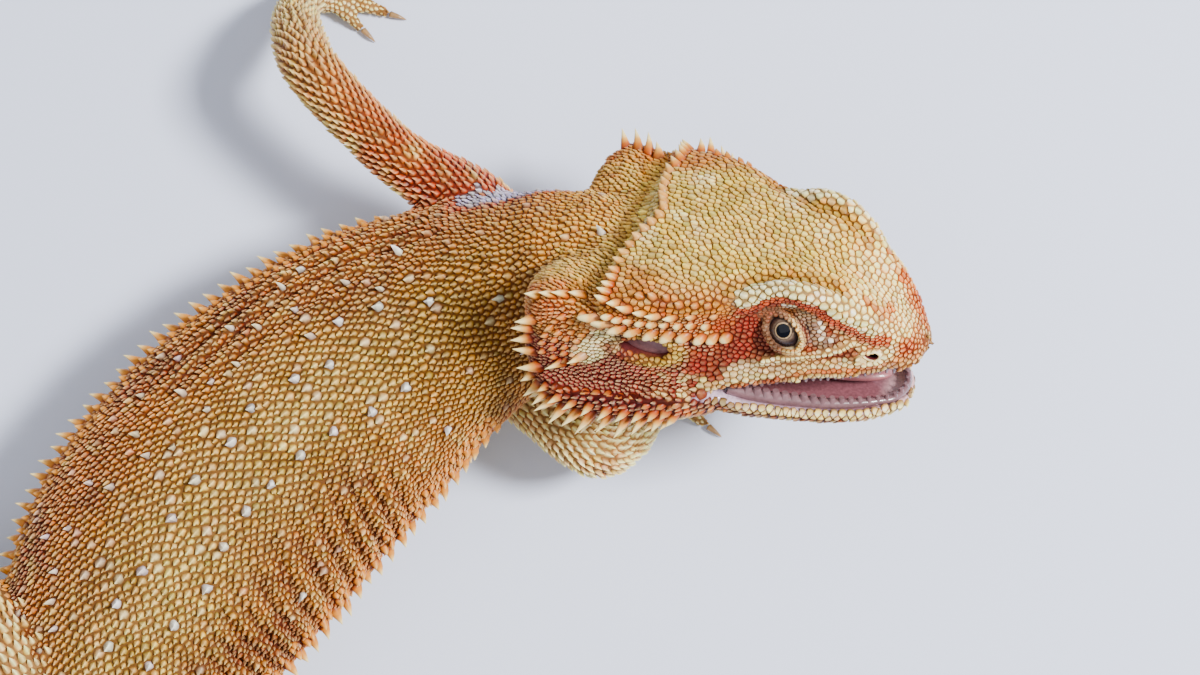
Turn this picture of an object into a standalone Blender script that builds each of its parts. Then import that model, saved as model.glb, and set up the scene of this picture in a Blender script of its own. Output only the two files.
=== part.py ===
"""Bearded dragon (Pogona vitticeps): a still, life-size model of the whole animal.

Metres, +Z up, feet and tail on the plane z = 0. The body bends to the animal's right, and the raised head
is rolled so that its right side looks up. Every size below is in millimetres and is turned into metres
where a mesh is made. The flesh is a row of lofts along one spine curve, parted by thin cuts.
"""

import math

import bmesh
import bpy
import numpy as np
from mathutils import Matrix, Vector

MM = 0.001
GAP = 0.3  # clearance between neighbouring pieces
FLOOR_CUTTER = 600.0  # side of the block that flattens the soles

# ---- the spine curve: axis point x, y, z, half width, depth above and below the axis, roll in degrees ----
BODY = np.array([
    (9.2, 10.4, 39.6, 11.0, 6.0, 6.0, 41.8),  # 0 inside the head
    (3.0, 11.6, 37.6, 13.0, 8.8, 9.0, 38.0),  # 1 nape
    (-6.0, 11.0, 33.0, 14.4, 10.8, 11.0, 26.0),  # 2 neck
    (-14.6, 8.4, 28.8, 16.8, 11.8, 12.2, 12.0),  # 3 neck base
    (-24.0, 4.4, 25.8, 19.0, 12.2, 13.2, 4.0),  # 4 shoulders
    (-34.4, -1.4, 23.6, 21.8, 12.2, 13.6, 0.0),  # 5 ribs
    (-46.5, -11.0, 22.2, 24.2, 12.0, 13.8, 0.0),  # 6
    (-58.5, -22.6, 21.2, 25.4, 11.8, 13.8, 0.0),  # 7 widest
    (-68.6, -35.6, 20.2, 24.8, 11.4, 13.4, 0.0),  # 8
    (-76.0, -49.0, 19.2, 21.2, 11.0, 12.4, 0.0),  # 9 loins
    (-80.6, -61.6, 17.8, 16.2, 10.6, 11.0, 0.0),  # 10 hips
    (-84.0, -76.0, 14.8, 10.8, 8.8, 8.8, 0.0),  # 11 tail base
    (-86.4, -94.0, 10.4, 8.6, 7.0, 7.0, 0.0),  # 12
    (-87.0, -115.0, 6.6, 6.9, 5.8, 6.0, 0.0),  # 13
    (-84.6, -140.0, 4.8, 5.5, 4.8, 5.2, 0.0),  # 14 lies on the floor from here
    (-78.2, -166.0, 4.0, 4.5, 4.0, 4.5, 0.0),  # 15
    (-67.6, -191.0, 3.3, 3.6, 3.3, 3.8, 0.0),  # 16
    (-53.2, -214.0, 2.7, 2.8, 2.6, 3.2, 0.0),  # 17
    (-35.4, -234.0, 2.1, 2.1, 2.0, 2.6, 0.0),  # 18
    (-15.6, -250.0, 1.5, 1.4, 1.3, 2.0, 0.0),  # 19
    (4.0, -262.0, 1.0, 0.7, 0.7, 1.4, 0.0),  # 20 tip
])
BODY_SIDES, TAIL_SIDES = 20, 14
BODY_STEP = 0.4
NECK_START = 0.12  # how far behind the end of its pocket in the head the neck starts
BODY_PARTS = (  # node, first and last station
    ("neck", 0.0, 3.0),
    ("chest", 3.0, 5.6),
    ("belly", 5.6, 8.4),
    ("hips", 8.4, 11.0),
    ("tail_base", 11.0, 13.4),
    ("tail_middle", 13.4, 15.6),
    ("tail_end", 15.6, 17.8),
    ("tail_tip", 17.8, 20.0),
)

# ---- the head, in its own frame: x forward from between the ears, y to its left, z up ----
HEAD_ORIGIN = Vector((11.1, 9.9, 40.0))
HEAD_YAW, HEAD_PITCH, HEAD_ROLL = -16.3, 12.0, 41.8
# x, height of the crown, brow ridge y and z, cheek y and z, lip y and z
SKULL = np.array([
    (-19.0, -1.0, 9.5, 1.0, 13.0, -1.5, 12.0, -6.0),
    (-17.4, 1.5, 15.6, 5.4, 18.4, 2.2, 17.6, -7.6),
    (-14.0, 4.0, 18.8, 7.8, 21.0, 3.0, 20.2, -8.0),
    (-9.5, 7.0, 19.0, 7.9, 20.4, 1.4, 20.0, -8.0),
    (-4.6, 11.2, 19.7, 9.1, 19.6, 0.8, 19.4, -8.0),
    (0.0, 12.7, 19.1, 10.6, 18.6, 1.0, 18.2, -8.0),
    (5.6, 13.2, 17.1, 11.6, 17.3, 2.8, 17.0, -7.8),
    (11.0, 13.2, 14.6, 11.8, 15.5, 4.8, 15.9, -7.1),
    (15.3, 12.9, 12.7, 12.6, 13.6, 6.0, 14.9, -6.0),
    (20.0, 12.6, 12.4, 14.1, 12.2, 7.0, 13.6, -4.8),
    (25.3, 11.8, 11.2, 13.5, 11.2, 6.4, 11.9, -3.6),
    (30.7, 9.8, 8.4, 10.8, 9.6, 4.0, 10.2, -2.7),
    (34.0, 7.8, 6.8, 8.2, 8.0, 2.4, 8.4, -2.3),
    (37.4, 5.4, 5.0, 5.0, 6.1, 0.9, 6.2, -2.2),
    (40.2, 2.1, 2.7, 1.2, 3.7, -0.6, 3.5, -2.1),
    (41.0, 0.3, 1.2, 0.0, 1.7, -0.8, 1.6, -1.7),
])
PALATE_RISE = 1.4  # how far the palate lies above the lip
# x, height of the top edge, half width, height of the underside
JAW = np.array([
    (11.0, -7.4, 15.8, -15.4),
    (15.0, -8.2, 15.4, -15.3),
    (20.0, -8.9, 14.0, -15.0),
    (28.0, -9.2, 11.7, -14.6),
    (34.0, -9.4, 8.9, -13.8),
    (38.0, -9.4, 5.6, -12.6),
    (39.6, -9.4, 3.0, -11.6),
])
BEARD = np.array([
    (-18.6, -8.4, 10.6, -11.2),
    (-16.4, -8.3, 18.6, -15.6),
    (-11.0, -8.3, 22.6, -19.2),
    (-4.0, -8.3, 22.4, -20.2),
    (4.0, -8.1, 20.4, -19.2),
    (10.7, -7.4, 16.4, -16.2),
])
EYE_CENTRE, EYE_RADIUS = Vector((20.9, 8.6, 6.6)), 4.3
EAR_CENTRE, EAR_SIZE, EAR_THICKNESS = Vector((1.5, 16.0, 0.2)), (3.7, 1.9), 0.9
TONGUE_SIZE = (11.0, 4.6, 1.7)
TONGUE_CENTRE = Vector((25.0, 0.0, -7.0))

# ---- the limbs: axis point x, y, z and radius, from inside the body to the wrist or ankle ----
LIMBS = {
    "arm_left": ((-13.6, 12.0, 21.6, 5.4), (-18.8, 21.6, 23.6, 6.1), (-32.4, 30.8, 25.4, 4.6),
                 (-45.0, 43.4, 25.0, 4.5), (-49.4, 52.0, 16.6, 4.4), (-50.6, 59.0, 8.2, 3.3)),
    "arm_right": ((-23.0, 4.0, 17.4, 5.0), (-16.0, -3.0, 18.0, 5.0), (-8.6, -9.8, 19.0, 4.8),
                  (-0.8, -15.4, 16.8, 4.7), (4.2, -13.2, 11.2, 4.3), (7.2, -9.8, 7.0, 3.4)),
    "leg_left": ((-82.0, -60.0, 18.6, 7.4), (-88.0, -55.6, 21.6, 8.0), (-95.2, -46.6, 23.2, 8.0),
                 (-103.8, -38.2, 19.8, 5.6), (-112.8, -42.0, 12.8, 4.9), (-119.4, -48.0, 7.2, 3.6)),
    "leg_right": ((-80.0, -64.0, 18.2, 7.4), (-73.0, -65.6, 20.4, 8.0), (-61.0, -68.0, 21.4, 7.6),
                  (-50.4, -69.6, 18.8, 5.6), (-46.8, -78.6, 12.4, 4.9), (-43.6, -87.4, 7.2, 3.6)),
}
LIMB_NAMES = {"arm_left": ("upper_arm_left", "forearm_left"), "arm_right": ("upper_arm_right", "forearm_right"),
              "leg_left": ("thigh_left", "shank_left"), "leg_right": ("thigh_right", "shank_right")}
LIMB_SIDES, LIMB_STEP = 10, 0.4
JOINT_STATION = 3.0  # the elbow or knee
# palm centre, heading of the middle digit, and for each digit its angle from it and its length
PAWS = {
    "hand_left": ("arm_left", (-46.8, 62.6, 2.6), 6.0, ((-50, 9.0), (-24, 11.6), (0, 13.4), (24, 13.4), (62, 10.4))),
    "hand_right": ("arm_right", (9.8, -4.6, 2.6), 12.0, ((50, 9.0), (24, 11.6), (0, 13.4), (-23, 13.4), (-50, 10.4))),
    "foot_left": ("leg_left", (-122.4, -43.4, 2.6), 112.0, ((-38, 11.0), (-18, 14.6), (0, 18.0), (19, 22.0), (56, 14.6))),
    "foot_right": ("leg_right", (-38.8, -88.4, 2.6), 24.0, ((38, 11.0), (18, 14.6), (0, 18.0), (-19, 22.0), (-56, 14.6))),
}
PALM_SIZE = (4.4, 4.0, 2.9)
DIGIT_ROOT, DIGIT_RADIUS, DIGIT_TIP = 1.8, 1.55, 1.05
CLAW_LENGTH, CLAW_RADIUS = 2.8, 0.62

COLOURS = {  # base colour, roughness
    "scaled_skin": ((0.63, 0.36, 0.13), 0.62),
    "pale_skin": ((0.74, 0.62, 0.40), 0.60),
    "mouth": ((0.55, 0.30, 0.36), 0.30),
    "eye": ((0.10, 0.06, 0.035), 0.08),
    "ear_drum": ((0.20, 0.12, 0.11), 0.45),
    "claw": ((0.30, 0.22, 0.14), 0.40),
}


def material(name):
    """A Principled material in the named colour, made once."""
    found = bpy.data.materials.get(name)
    if found:
        return found
    made = bpy.data.materials.new(name)
    made.use_nodes = True
    shader = made.node_tree.nodes["Principled BSDF"]
    colour, roughness = COLOURS[name]
    shader.inputs["Base Color"].default_value = (*colour, 1.0)
    shader.inputs["Roughness"].default_value = roughness
    return made


def row(table, at):
    """A table's values between its rows, along a smooth curve through them."""
    table = np.asarray(table, float)
    last = len(table) - 1
    at = min(max(at, 0.0), float(last))
    i = min(int(at), last - 1)
    t = at - i
    p1, p2 = table[i], table[i + 1]
    p0 = table[i - 1] if i else 2 * p1 - p2
    p3 = table[i + 2] if i + 2 <= last else 2 * p2 - p1
    return 0.5 * (2 * p1 + (p2 - p0) * t + (2 * p0 - 5 * p1 + 4 * p2 - p3) * t**2
                  + (3 * p1 - p0 - 3 * p2 + p3) * t**3)


def row_at_x(table, x):
    """The row of a table whose first column is x, at a given x."""
    return row(table, float(np.interp(x, table[:, 0], range(len(table)))))


def frame_along(table, at, roll=0.0):
    """Axis point, forward, left and up at a station. Forward points to row 0."""
    step = 0.01
    point = Vector(row(table, at)[:3])
    forward = Vector(row(table, at - step)[:3]) - Vector(row(table, at + step)[:3])
    forward.normalize()
    left = Vector((0, 0, 1)).cross(forward).normalized()
    up = forward.cross(left)
    turn = math.radians(roll)
    return point, forward, left * math.cos(turn) - up * math.sin(turn), up * math.cos(turn) + left * math.sin(turn)


def power(value, exponent):
    """A signed power, which squares off or sharpens an ellipse."""
    return math.copysign(abs(value) ** exponent, value)


def body_ring(at, grow=0.0, sides=BODY_SIDES):
    """The trunk's section: a flat oval, sharpest along the flanks and narrower below."""
    half, above, below, roll = row(BODY, at)[3:]
    point, _, left, up = frame_along(BODY, at, roll)
    ring = []
    for i in range(sides):
        angle = math.tau * i / sides
        side, rise = power(math.cos(angle), 0.92), power(math.sin(angle), 1.06)
        narrow = 1 - 0.10 * max(0.0, -rise)
        height = (above if rise > 0 else below) + grow
        ring.append(point + left * (half + grow) * side * narrow + up * height * rise)
    return ring


def limb_ring(table, at, grow=0.0, sides=LIMB_SIDES):
    radius = row(table, at)[3] + grow
    point, _, left, up = frame_along(table, at)
    return [point + (left * math.cos(a) + up * math.sin(a)) * radius
            for a in (math.tau * i / sides for i in range(sides))]


def head_matrix():
    """Places the head's own frame in the model."""
    turn = (Matrix.Rotation(math.radians(HEAD_YAW), 4, "Z") @ Matrix.Rotation(math.radians(-HEAD_PITCH), 4, "Y")
            @ Matrix.Rotation(math.radians(-HEAD_ROLL), 4, "X"))
    return Matrix.Translation(HEAD_ORIGIN) @ turn


def smooth_side(points, counts):
    """Points along a smooth curve through the given ones, with so many steps in each span."""
    made = []
    for span, count in enumerate(counts):
        made += [row(points, span + k / count) for k in range(count)]
    return made + [np.asarray(points[-1], float)]


def skull_ring(x):
    """The upper head's section, from the crown over brow, cheek and lip to the palate."""
    _, crown, brow_y, brow_z, cheek_y, cheek_z, lip_y, lip_z = row_at_x(SKULL, x)
    side = smooth_side([(0.0, crown), (brow_y, brow_z), (cheek_y, cheek_z), (lip_y, lip_z)], (2, 3, 1))
    palate = lip_z + PALATE_RISE * min(1.0, lip_y / 6.0) * (1.0 if x > JAW[0, 0] else 0.0)
    side += [np.array((lip_y * 0.72, palate)), np.array((0.0, palate))]
    left = [head_matrix() @ Vector((x, y, z)) for y, z in side]
    right = [head_matrix() @ Vector((x, -y, z)) for y, z in side[1:-1]]
    return left + right[::-1]


def jaw_ring(table, x, steps=7):
    """The lower jaw's or beard's section: a flat top edge and a rounded underside."""
    _, top, half, under = row_at_x(table, x)
    angles = [math.pi * k / (steps + 1) for k in range(steps + 2)]
    outline = [(half * power(math.cos(a), 0.75), top + (under - top) * math.sin(a)) for a in angles]
    return [head_matrix() @ Vector((x, y, z)) for y, z in outline]


def mesh_object(name, bm, kind, helper=False):
    """Turns a bmesh in millimetres into an object in metres. A helper cuts or joins and isn't a piece."""
    bmesh.ops.recalc_face_normals(bm, faces=bm.faces)
    bmesh.ops.scale(bm, vec=(MM, MM, MM), verts=bm.verts)
    mesh = bpy.data.meshes.new(name)
    bm.to_mesh(mesh)
    bm.free()
    obj = bpy.data.objects.new(name, mesh)
    if helper:
        obj.hide_render = True
        obj.display_type = "WIRE"
        HELPERS.objects.link(obj)
    else:
        mesh.materials.append(material(kind))
        mesh.shade_smooth()
        mesh.set_sharp_from_angle(angle=math.radians(40))
        ANIMAL.objects.link(obj)
    return obj


def add_loft(bm, rings):
    """Adds a closed tube through rings of as many points each."""
    loops = [[bm.verts.new(p) for p in ring] for ring in rings]
    for first, second in zip(loops, loops[1:]):
        for i, j in zip(range(len(first)), [*range(1, len(first)), 0]):
            bm.faces.new((first[i], first[j], second[j], second[i]))
    bm.faces.new(loops[0])
    bm.faces.new(loops[-1])


def loft(name, rings, kind="scaled_skin", helper=False):
    bm = bmesh.new()
    add_loft(bm, rings)
    return mesh_object(name, bm, kind, helper)


def stations(first, last, step):
    """Evenly spaced stations from first to last, about a step apart."""
    count = max(1, round((last - first) / step))
    return [first + (last - first) * k / count for k in range(count + 1)]


def pushed(ring, axis, distance):
    """A ring moved along its axis."""
    return [p + axis * distance for p in ring]


def cut_margin(table, at):
    """Half of the gap between two pieces, as a share of a station."""
    reach = Vector(row(table, at + 0.05)[:3]) - Vector(row(table, at - 0.05)[:3])
    return GAP / 2 / (reach.length / 0.1)


def boolean(obj, other, operation="DIFFERENCE"):
    modifier = obj.modifiers.new(operation.lower(), "BOOLEAN")
    modifier.operation = operation
    modifier.solver = "EXACT"
    modifier.object = other


def thorn(bm, base, direction, length, radius, sides=4):
    """A pointed scale, with its foot sunk a little into the hide."""
    direction = direction.normalized()
    turn = direction.to_track_quat("Z", "Y").to_matrix().to_4x4()
    place = Matrix.Translation(base + direction * (length / 2 - 0.6)) @ turn
    bmesh.ops.create_cone(bm, cap_ends=True, segments=sides, radius1=radius, radius2=0.06,
                          depth=length + 1.2, matrix=place)


def join_thorns(obj, placed):
    """Joins the thorns to the piece that they grow from."""
    bm = bmesh.new()
    for base, direction, length, radius in placed:
        thorn(bm, base, direction, length, radius)
    boolean(obj, mesh_object(obj.name + "_thorns", bm, None, helper=True), "UNION")


def build_body():
    """Neck, trunk and tail, one loft for each piece, and the hulls that the limbs and head are cut with."""
    pieces = {}
    for name, first, last in BODY_PARTS:
        inner = [max(first + cut_margin(BODY, first), NECK_START), min(last - cut_margin(BODY, last), 20.0)]
        sides = TAIL_SIDES if name.startswith("tail") else BODY_SIDES
        pieces[name] = loft(name, [body_ring(at, sides=sides) for at in stations(*inner, BODY_STEP)])
    trunk_cutter = loft("trunk_cutter", [body_ring(at, GAP) for at in stations(2.4, 11.8, BODY_STEP)], helper=True)
    neck_rings = [body_ring(at, GAP) for at in stations(NECK_START, 3.0 - cut_margin(BODY, 3.0), BODY_STEP)]
    front = frame_along(BODY, NECK_START)[1]
    neck_cutter = loft("neck_cutter", [pushed(neck_rings[0], front, GAP), *neck_rings], helper=True)
    return pieces, trunk_cutter, neck_cutter


FRINGE_PITCH, FRINGE_LENGTH, FRINGE_RADIUS = 4.6, 3.0, 1.2


def fringe(first, last):
    """The row of thorns along each flank, leaning back, between two stations."""
    placed = []
    count = round((last - first) * 15.0 / FRINGE_PITCH)
    for k in range(count):
        at = first + (last - first) * (k + 0.5) / count
        half = row(BODY, at)[3]
        point, forward, left, up = frame_along(BODY, at)
        for side in (1, -1):
            out = left * side
            placed.append((point + out * half, out * 0.86 - forward * 0.42 + up * 0.2, FRINGE_LENGTH, FRINGE_RADIUS))
    return placed


# each row of the head's thorns: first and last point in the head's frame, direction, how many, and length
HEAD_THORNS = (
    ((12.6, 15.6, 6.2), (-4.0, 19.0, 6.8), (-0.40, 0.90, 0.20), 6, 2.4),  # over the ear
    ((-9.0, 19.0, 6.2), (-16.4, 17.6, 4.8), (-0.50, 0.84, 0.30), 4, 3.2),  # lobe on the side of the neck
    ((-14.8, 20.2, 0.6), (-16.2, 18.8, -4.6), (-0.66, 0.74, -0.10), 2, 2.8),
)
BEARD_THORNS = (
    ((-16.0, 16.9, -10.6), (-5.8, 19.6, -11.6), (-0.30, 0.75, -0.60), 5, 4.6),
    ((-2.8, 19.4, -11.8), (7.2, 16.8, -12.0), (-0.30, 0.75, -0.60), 5, 4.6),
    ((-10.6, 15.0, -16.2), (4.2, 14.0, -15.8), (-0.35, 0.42, -0.84), 5, 3.6),
)
THORN_RADIUS = 1.0


def head_thorns(rows):
    """Thorns in rows on both sides of the head."""
    to_model = head_matrix()
    placed = []
    for start, end, direction, count, length in rows:
        for k in range(count):
            base = Vector(start).lerp(Vector(end), k / max(1, count - 1))
            for side in (1, -1):
                flip = Vector((1, side, 1))
                placed.append((to_model @ (base * flip), to_model.to_3x3() @ (Vector(direction) * flip),
                               length, THORN_RADIUS))
    return placed


def ellipsoid(name, centre, size, kind, helper=False, detail=(12, 7)):
    """A closed oval body in the head's frame."""
    bm = bmesh.new()
    place = head_matrix() @ Matrix.Translation(centre) @ Matrix.Diagonal((*size, 1))
    bmesh.ops.create_uvsphere(bm, u_segments=detail[0], v_segments=detail[1], radius=1.0, matrix=place)
    return mesh_object(name, bm, kind, helper)


def oval_disc(name, centre, size, thickness, kind, helper=False):
    """An upright oval disc that faces sideways in the head's frame."""
    bm = bmesh.new()
    place = (head_matrix() @ Matrix.Translation(centre) @ Matrix.Diagonal((size[0], 1, size[1], 1))
             @ Matrix.Rotation(math.pi / 2, 4, "X"))
    bmesh.ops.create_cone(bm, cap_ends=True, segments=16, radius1=1.0, radius2=1.0, depth=thickness, matrix=place)
    return mesh_object(name, bm, kind, helper)


def build_head(neck_cutter):
    """Skull with its upper jaw, lower jaw, beard, tongue, eyes and ear drums."""
    skull_x = [SKULL[0, 0], -17.4, -15.6, -13.6, -10.8, -8.0, -5.6, -3.0, 0.0, 3.2, 6.6, 10.0, 13.0, 15.6,
               18.0, 21.0, 24.0, 27.0, 30.7, 34.0, 37.4, 40.2, SKULL[-1, 0]]
    head = loft("head", [skull_ring(x) for x in skull_x])
    join_thorns(head, head_thorns(HEAD_THORNS))
    beard = loft("beard", [jaw_ring(BEARD, x) for x in stations(BEARD[0, 0], BEARD[-1, 0], 3.4)])
    join_thorns(beard, head_thorns(BEARD_THORNS))
    boolean(head, neck_cutter)
    boolean(beard, neck_cutter)
    loft("lower_jaw", [jaw_ring(JAW, x) for x in stations(JAW[0, 0], JAW[-1, 0], 2.8)])
    ellipsoid("tongue", TONGUE_CENTRE, TONGUE_SIZE, "mouth")
    for side, word in ((1, "left"), (-1, "right")):
        flip = Vector((1, side, 1))
        ball = (EYE_RADIUS,) * 3
        ellipsoid("eye_" + word, EYE_CENTRE * flip, ball, "eye")
        boolean(head, ellipsoid("socket_" + word, EYE_CENTRE * flip, [r + GAP for r in ball], None, helper=True))
        oval_disc("ear_" + word, EAR_CENTRE * flip, EAR_SIZE, EAR_THICKNESS, "ear_drum")
        wall, mouth = GAP * 2 + EAR_THICKNESS, 6.0
        seat = (EAR_CENTRE + Vector((0, (mouth - wall) / 2, 0))) * flip
        boolean(head, oval_disc("ear_recess_" + word, seat, [r + GAP for r in EAR_SIZE], wall + mouth, None, True))


def end_cutter(name, table, at):
    """A length of a limb with the gap added around it and past its far end."""
    rings = [limb_ring(table, a, GAP) for a in at]
    back = -frame_along(table, at[-1])[1]
    return loft(name + "_cutter", [*rings, pushed(rings[-1], back, GAP)], helper=True)


def build_limb(limb, trunk_cutter):
    """Upper and lower length of a limb, parted at the elbow or knee."""
    table = np.array(LIMBS[limb])
    joint, wrist = JOINT_STATION, len(table) - 1.0
    margin = cut_margin(table, joint)
    upper_name, lower_name = LIMB_NAMES[limb]
    upper_at = stations(0, joint - margin, LIMB_STEP)
    upper = loft(upper_name, [limb_ring(table, at) for at in upper_at])
    boolean(upper, trunk_cutter)
    lower_at = stations(joint + margin, wrist - 2 * cut_margin(table, wrist - 0.1), LIMB_STEP)
    lower = loft(lower_name, [limb_ring(table, at) for at in lower_at], "pale_skin")
    boolean(lower, end_cutter(upper_name, table, upper_at))
    return end_cutter(lower_name, table, lower_at)


def digit_axis(palm, heading, length):
    """Root, knuckle and tip of a digit: it arches from the palm and then lies on the floor."""
    along = Vector((math.cos(heading), math.sin(heading), 0))
    middle = Vector((palm[0], palm[1], 0))
    root = Vector(palm) + along * 1.0
    knuckle = middle + along * length * 0.52 + Vector((0, 0, 2.3))
    return root, knuckle, middle + along * length + Vector((0, 0, DIGIT_TIP - 0.25)), along


def build_paw(name, lower_cutters):
    """Palm and five digits joined in one piece with flat soles, and a claw on each digit."""
    limb, palm, heading, digits = PAWS[name]
    table = np.array(LIMBS[limb])
    wrist, forward, _, _ = frame_along(table, len(table) - 1.0)
    bm = bmesh.new()
    place = (Matrix.Translation(palm) @ Matrix.Rotation(math.radians(heading), 4, "Z")
             @ Matrix.Diagonal((*PALM_SIZE, 1)))
    bmesh.ops.create_uvsphere(bm, u_segments=10, v_segments=6, radius=1.0, matrix=place)
    paw = mesh_object(name, bm, "pale_skin")
    path = np.array([(*(wrist + forward * 1.5), 3.3), (*wrist.lerp(Vector(palm), 0.5), 3.1), (*palm, 2.4)])
    boolean(paw, loft(name + "_wrist", [limb_ring(path, at, sides=8) for at in stations(0, 2, 0.7)], helper=True),
            "UNION")
    for number, (spread, length) in enumerate(digits, 1):
        angle = math.radians(heading + spread)
        root, knuckle, tip, along = digit_axis(palm, angle, length)
        path = np.array([(*tip, DIGIT_TIP), (*knuckle, DIGIT_RADIUS), (*root, DIGIT_ROOT)])
        rings = [limb_ring(path, at, sides=6) for at in stations(0, 2, 0.67)]
        boolean(paw, loft(f"{name}_digit_{number}", rings, helper=True), "UNION")
        build_claw(f"claw_{name}_{number}", tip, along)
    boolean(paw, lower_cutters[limb])
    boolean(paw, FLOOR)


def build_claw(name, tip, along):
    """A short curved claw just past the digit's tip, clear of the floor."""
    drop = Vector((0, 0, -1))
    start = tip + along * GAP
    points = [start, start + along * CLAW_LENGTH * 0.5 + Vector((0, 0, 0.25)),
              start + along * CLAW_LENGTH + drop * 0.35]
    radii = (CLAW_RADIUS, CLAW_RADIUS * 0.62, 0.1)
    path = np.array([(*p, r) for p, r in zip(points, radii)])
    loft(name, [limb_ring(path, at, sides=5) for at in stations(0, 2, 1.0)], "claw")


def floor_block():
    """A block under z = 0 that leaves a small flat wherever a sole or the tail dips below the floor."""
    bm = bmesh.new()
    bmesh.ops.create_cube(bm, size=FLOOR_CUTTER, matrix=Matrix.Translation((0, -100, -FLOOR_CUTTER / 2)))
    return mesh_object("floor_block", bm, None, helper=True)


def centre_on_origin():
    """Moves everything so that the middle of the model's footprint is at the origin."""
    bpy.context.view_layer.update()
    graph = bpy.context.evaluated_depsgraph_get()
    corners = np.array([corner[:] for piece in ANIMAL.objects for corner in piece.evaluated_get(graph).bound_box])
    middle = (corners.min(axis=0) + corners.max(axis=0)) / 2
    for obj in [*ANIMAL.objects, *HELPERS.objects]:
        obj.location -= Vector((middle[0], middle[1], 0))


for old in list(bpy.data.objects):
    bpy.data.objects.remove(old)
ANIMAL = bpy.data.collections.new("bearded_dragon")
HELPERS = bpy.data.collections.new("cutters")
for collection in (ANIMAL, HELPERS):
    bpy.context.scene.collection.children.link(collection)
FLOOR = floor_block()

body, trunk, neck = build_body()
join_thorns(body["chest"], fringe(4.6, 5.5))
join_thorns(body["belly"], fringe(5.7, 8.2))
for tail in ("tail_middle", "tail_end", "tail_tip"):
    boolean(body[tail], FLOOR)
build_head(neck)
lower_limbs = {limb_name: build_limb(limb_name, trunk) for limb_name in LIMBS}
for paw_name in PAWS:
    build_paw(paw_name, lower_limbs)
centre_on_origin()
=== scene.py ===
# %% [markdown]
# # A bearded dragon, scale by scale
# The solid model gives the animal's size, pose and main forms. This script gives its looks: one skin, a coat of
# about twenty-five thousand solid scales that grow from it, spines, eyes, mouth and claws.
# All modelling is in millimetres in the model's own frame, and each finished mesh is moved into the frame of
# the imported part, in metres, at the very end.

import math

import bmesh
import bpy
import numpy as np
from mathutils import Matrix, Vector
from mathutils.bvhtree import BVHTree
from mathutils.kdtree import KDTree


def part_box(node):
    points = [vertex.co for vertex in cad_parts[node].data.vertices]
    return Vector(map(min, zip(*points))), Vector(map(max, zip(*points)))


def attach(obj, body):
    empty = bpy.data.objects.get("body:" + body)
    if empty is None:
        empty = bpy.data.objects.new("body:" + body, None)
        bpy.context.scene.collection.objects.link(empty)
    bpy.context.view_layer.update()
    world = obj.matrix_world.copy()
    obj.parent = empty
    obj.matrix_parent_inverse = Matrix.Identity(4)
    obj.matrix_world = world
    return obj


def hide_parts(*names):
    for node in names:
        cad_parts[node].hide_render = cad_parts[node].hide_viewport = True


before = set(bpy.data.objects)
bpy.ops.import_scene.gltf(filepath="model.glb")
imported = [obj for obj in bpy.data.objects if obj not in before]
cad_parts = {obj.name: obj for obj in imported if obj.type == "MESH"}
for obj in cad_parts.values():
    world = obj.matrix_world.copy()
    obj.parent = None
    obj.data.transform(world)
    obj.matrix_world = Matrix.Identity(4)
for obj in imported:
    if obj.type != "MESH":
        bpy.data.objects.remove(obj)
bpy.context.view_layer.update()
print("solids:", len(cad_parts), "nodes")

# %% [markdown]
# ## The sizes that the solids were made from
# The skin has to lie just inside the solids, so it is lofted from the same few named sizes. Each row of BODY is
# one station along the spine, and a smooth curve through the rows gives every station between them.

# %% Named sizes, in millimetres
BODY = np.array([  # x, y, z of the axis, half width, depth above and below it, roll in degrees
    (9.2, 10.4, 39.6, 11.0, 6.0, 6.0, 41.8),
    (3.0, 11.6, 37.6, 13.0, 8.8, 9.0, 38.0),
    (-6.0, 11.0, 33.0, 14.4, 10.8, 11.0, 26.0),
    (-14.6, 8.4, 28.8, 16.8, 11.8, 12.2, 12.0),
    (-24.0, 4.4, 25.8, 19.0, 12.2, 13.2, 4.0),
    (-34.4, -1.4, 23.6, 21.8, 12.2, 13.6, 0.0),
    (-46.5, -11.0, 22.2, 24.2, 12.0, 13.8, 0.0),
    (-58.5, -22.6, 21.2, 25.4, 11.8, 13.8, 0.0),
    (-68.6, -35.6, 20.2, 24.8, 11.4, 13.4, 0.0),
    (-76.0, -49.0, 19.2, 21.2, 11.0, 12.4, 0.0),
    (-80.6, -61.6, 17.8, 16.2, 10.6, 11.0, 0.0),
    (-84.0, -76.0, 14.8, 10.8, 8.8, 8.8, 0.0),
    (-86.4, -94.0, 10.4, 8.6, 7.0, 7.0, 0.0),
    (-87.0, -115.0, 6.6, 6.9, 5.8, 6.0, 0.0),
    (-84.6, -140.0, 4.8, 5.5, 4.8, 5.2, 0.0),
    (-78.2, -166.0, 4.0, 4.5, 4.0, 4.5, 0.0),
    (-67.6, -191.0, 3.3, 3.6, 3.3, 3.8, 0.0),
    (-53.2, -214.0, 2.7, 2.8, 2.6, 3.2, 0.0),
    (-35.4, -234.0, 2.1, 2.1, 2.0, 2.6, 0.0),
    (-15.6, -250.0, 1.5, 1.4, 1.3, 2.0, 0.0),
    (4.0, -262.0, 1.0, 0.7, 0.7, 1.4, 0.0),
])
HEAD_ORIGIN = Vector((11.1, 9.9, 40.0))
HEAD_YAW, HEAD_PITCH, HEAD_ROLL = -16.3, 12.0, 41.8
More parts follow.
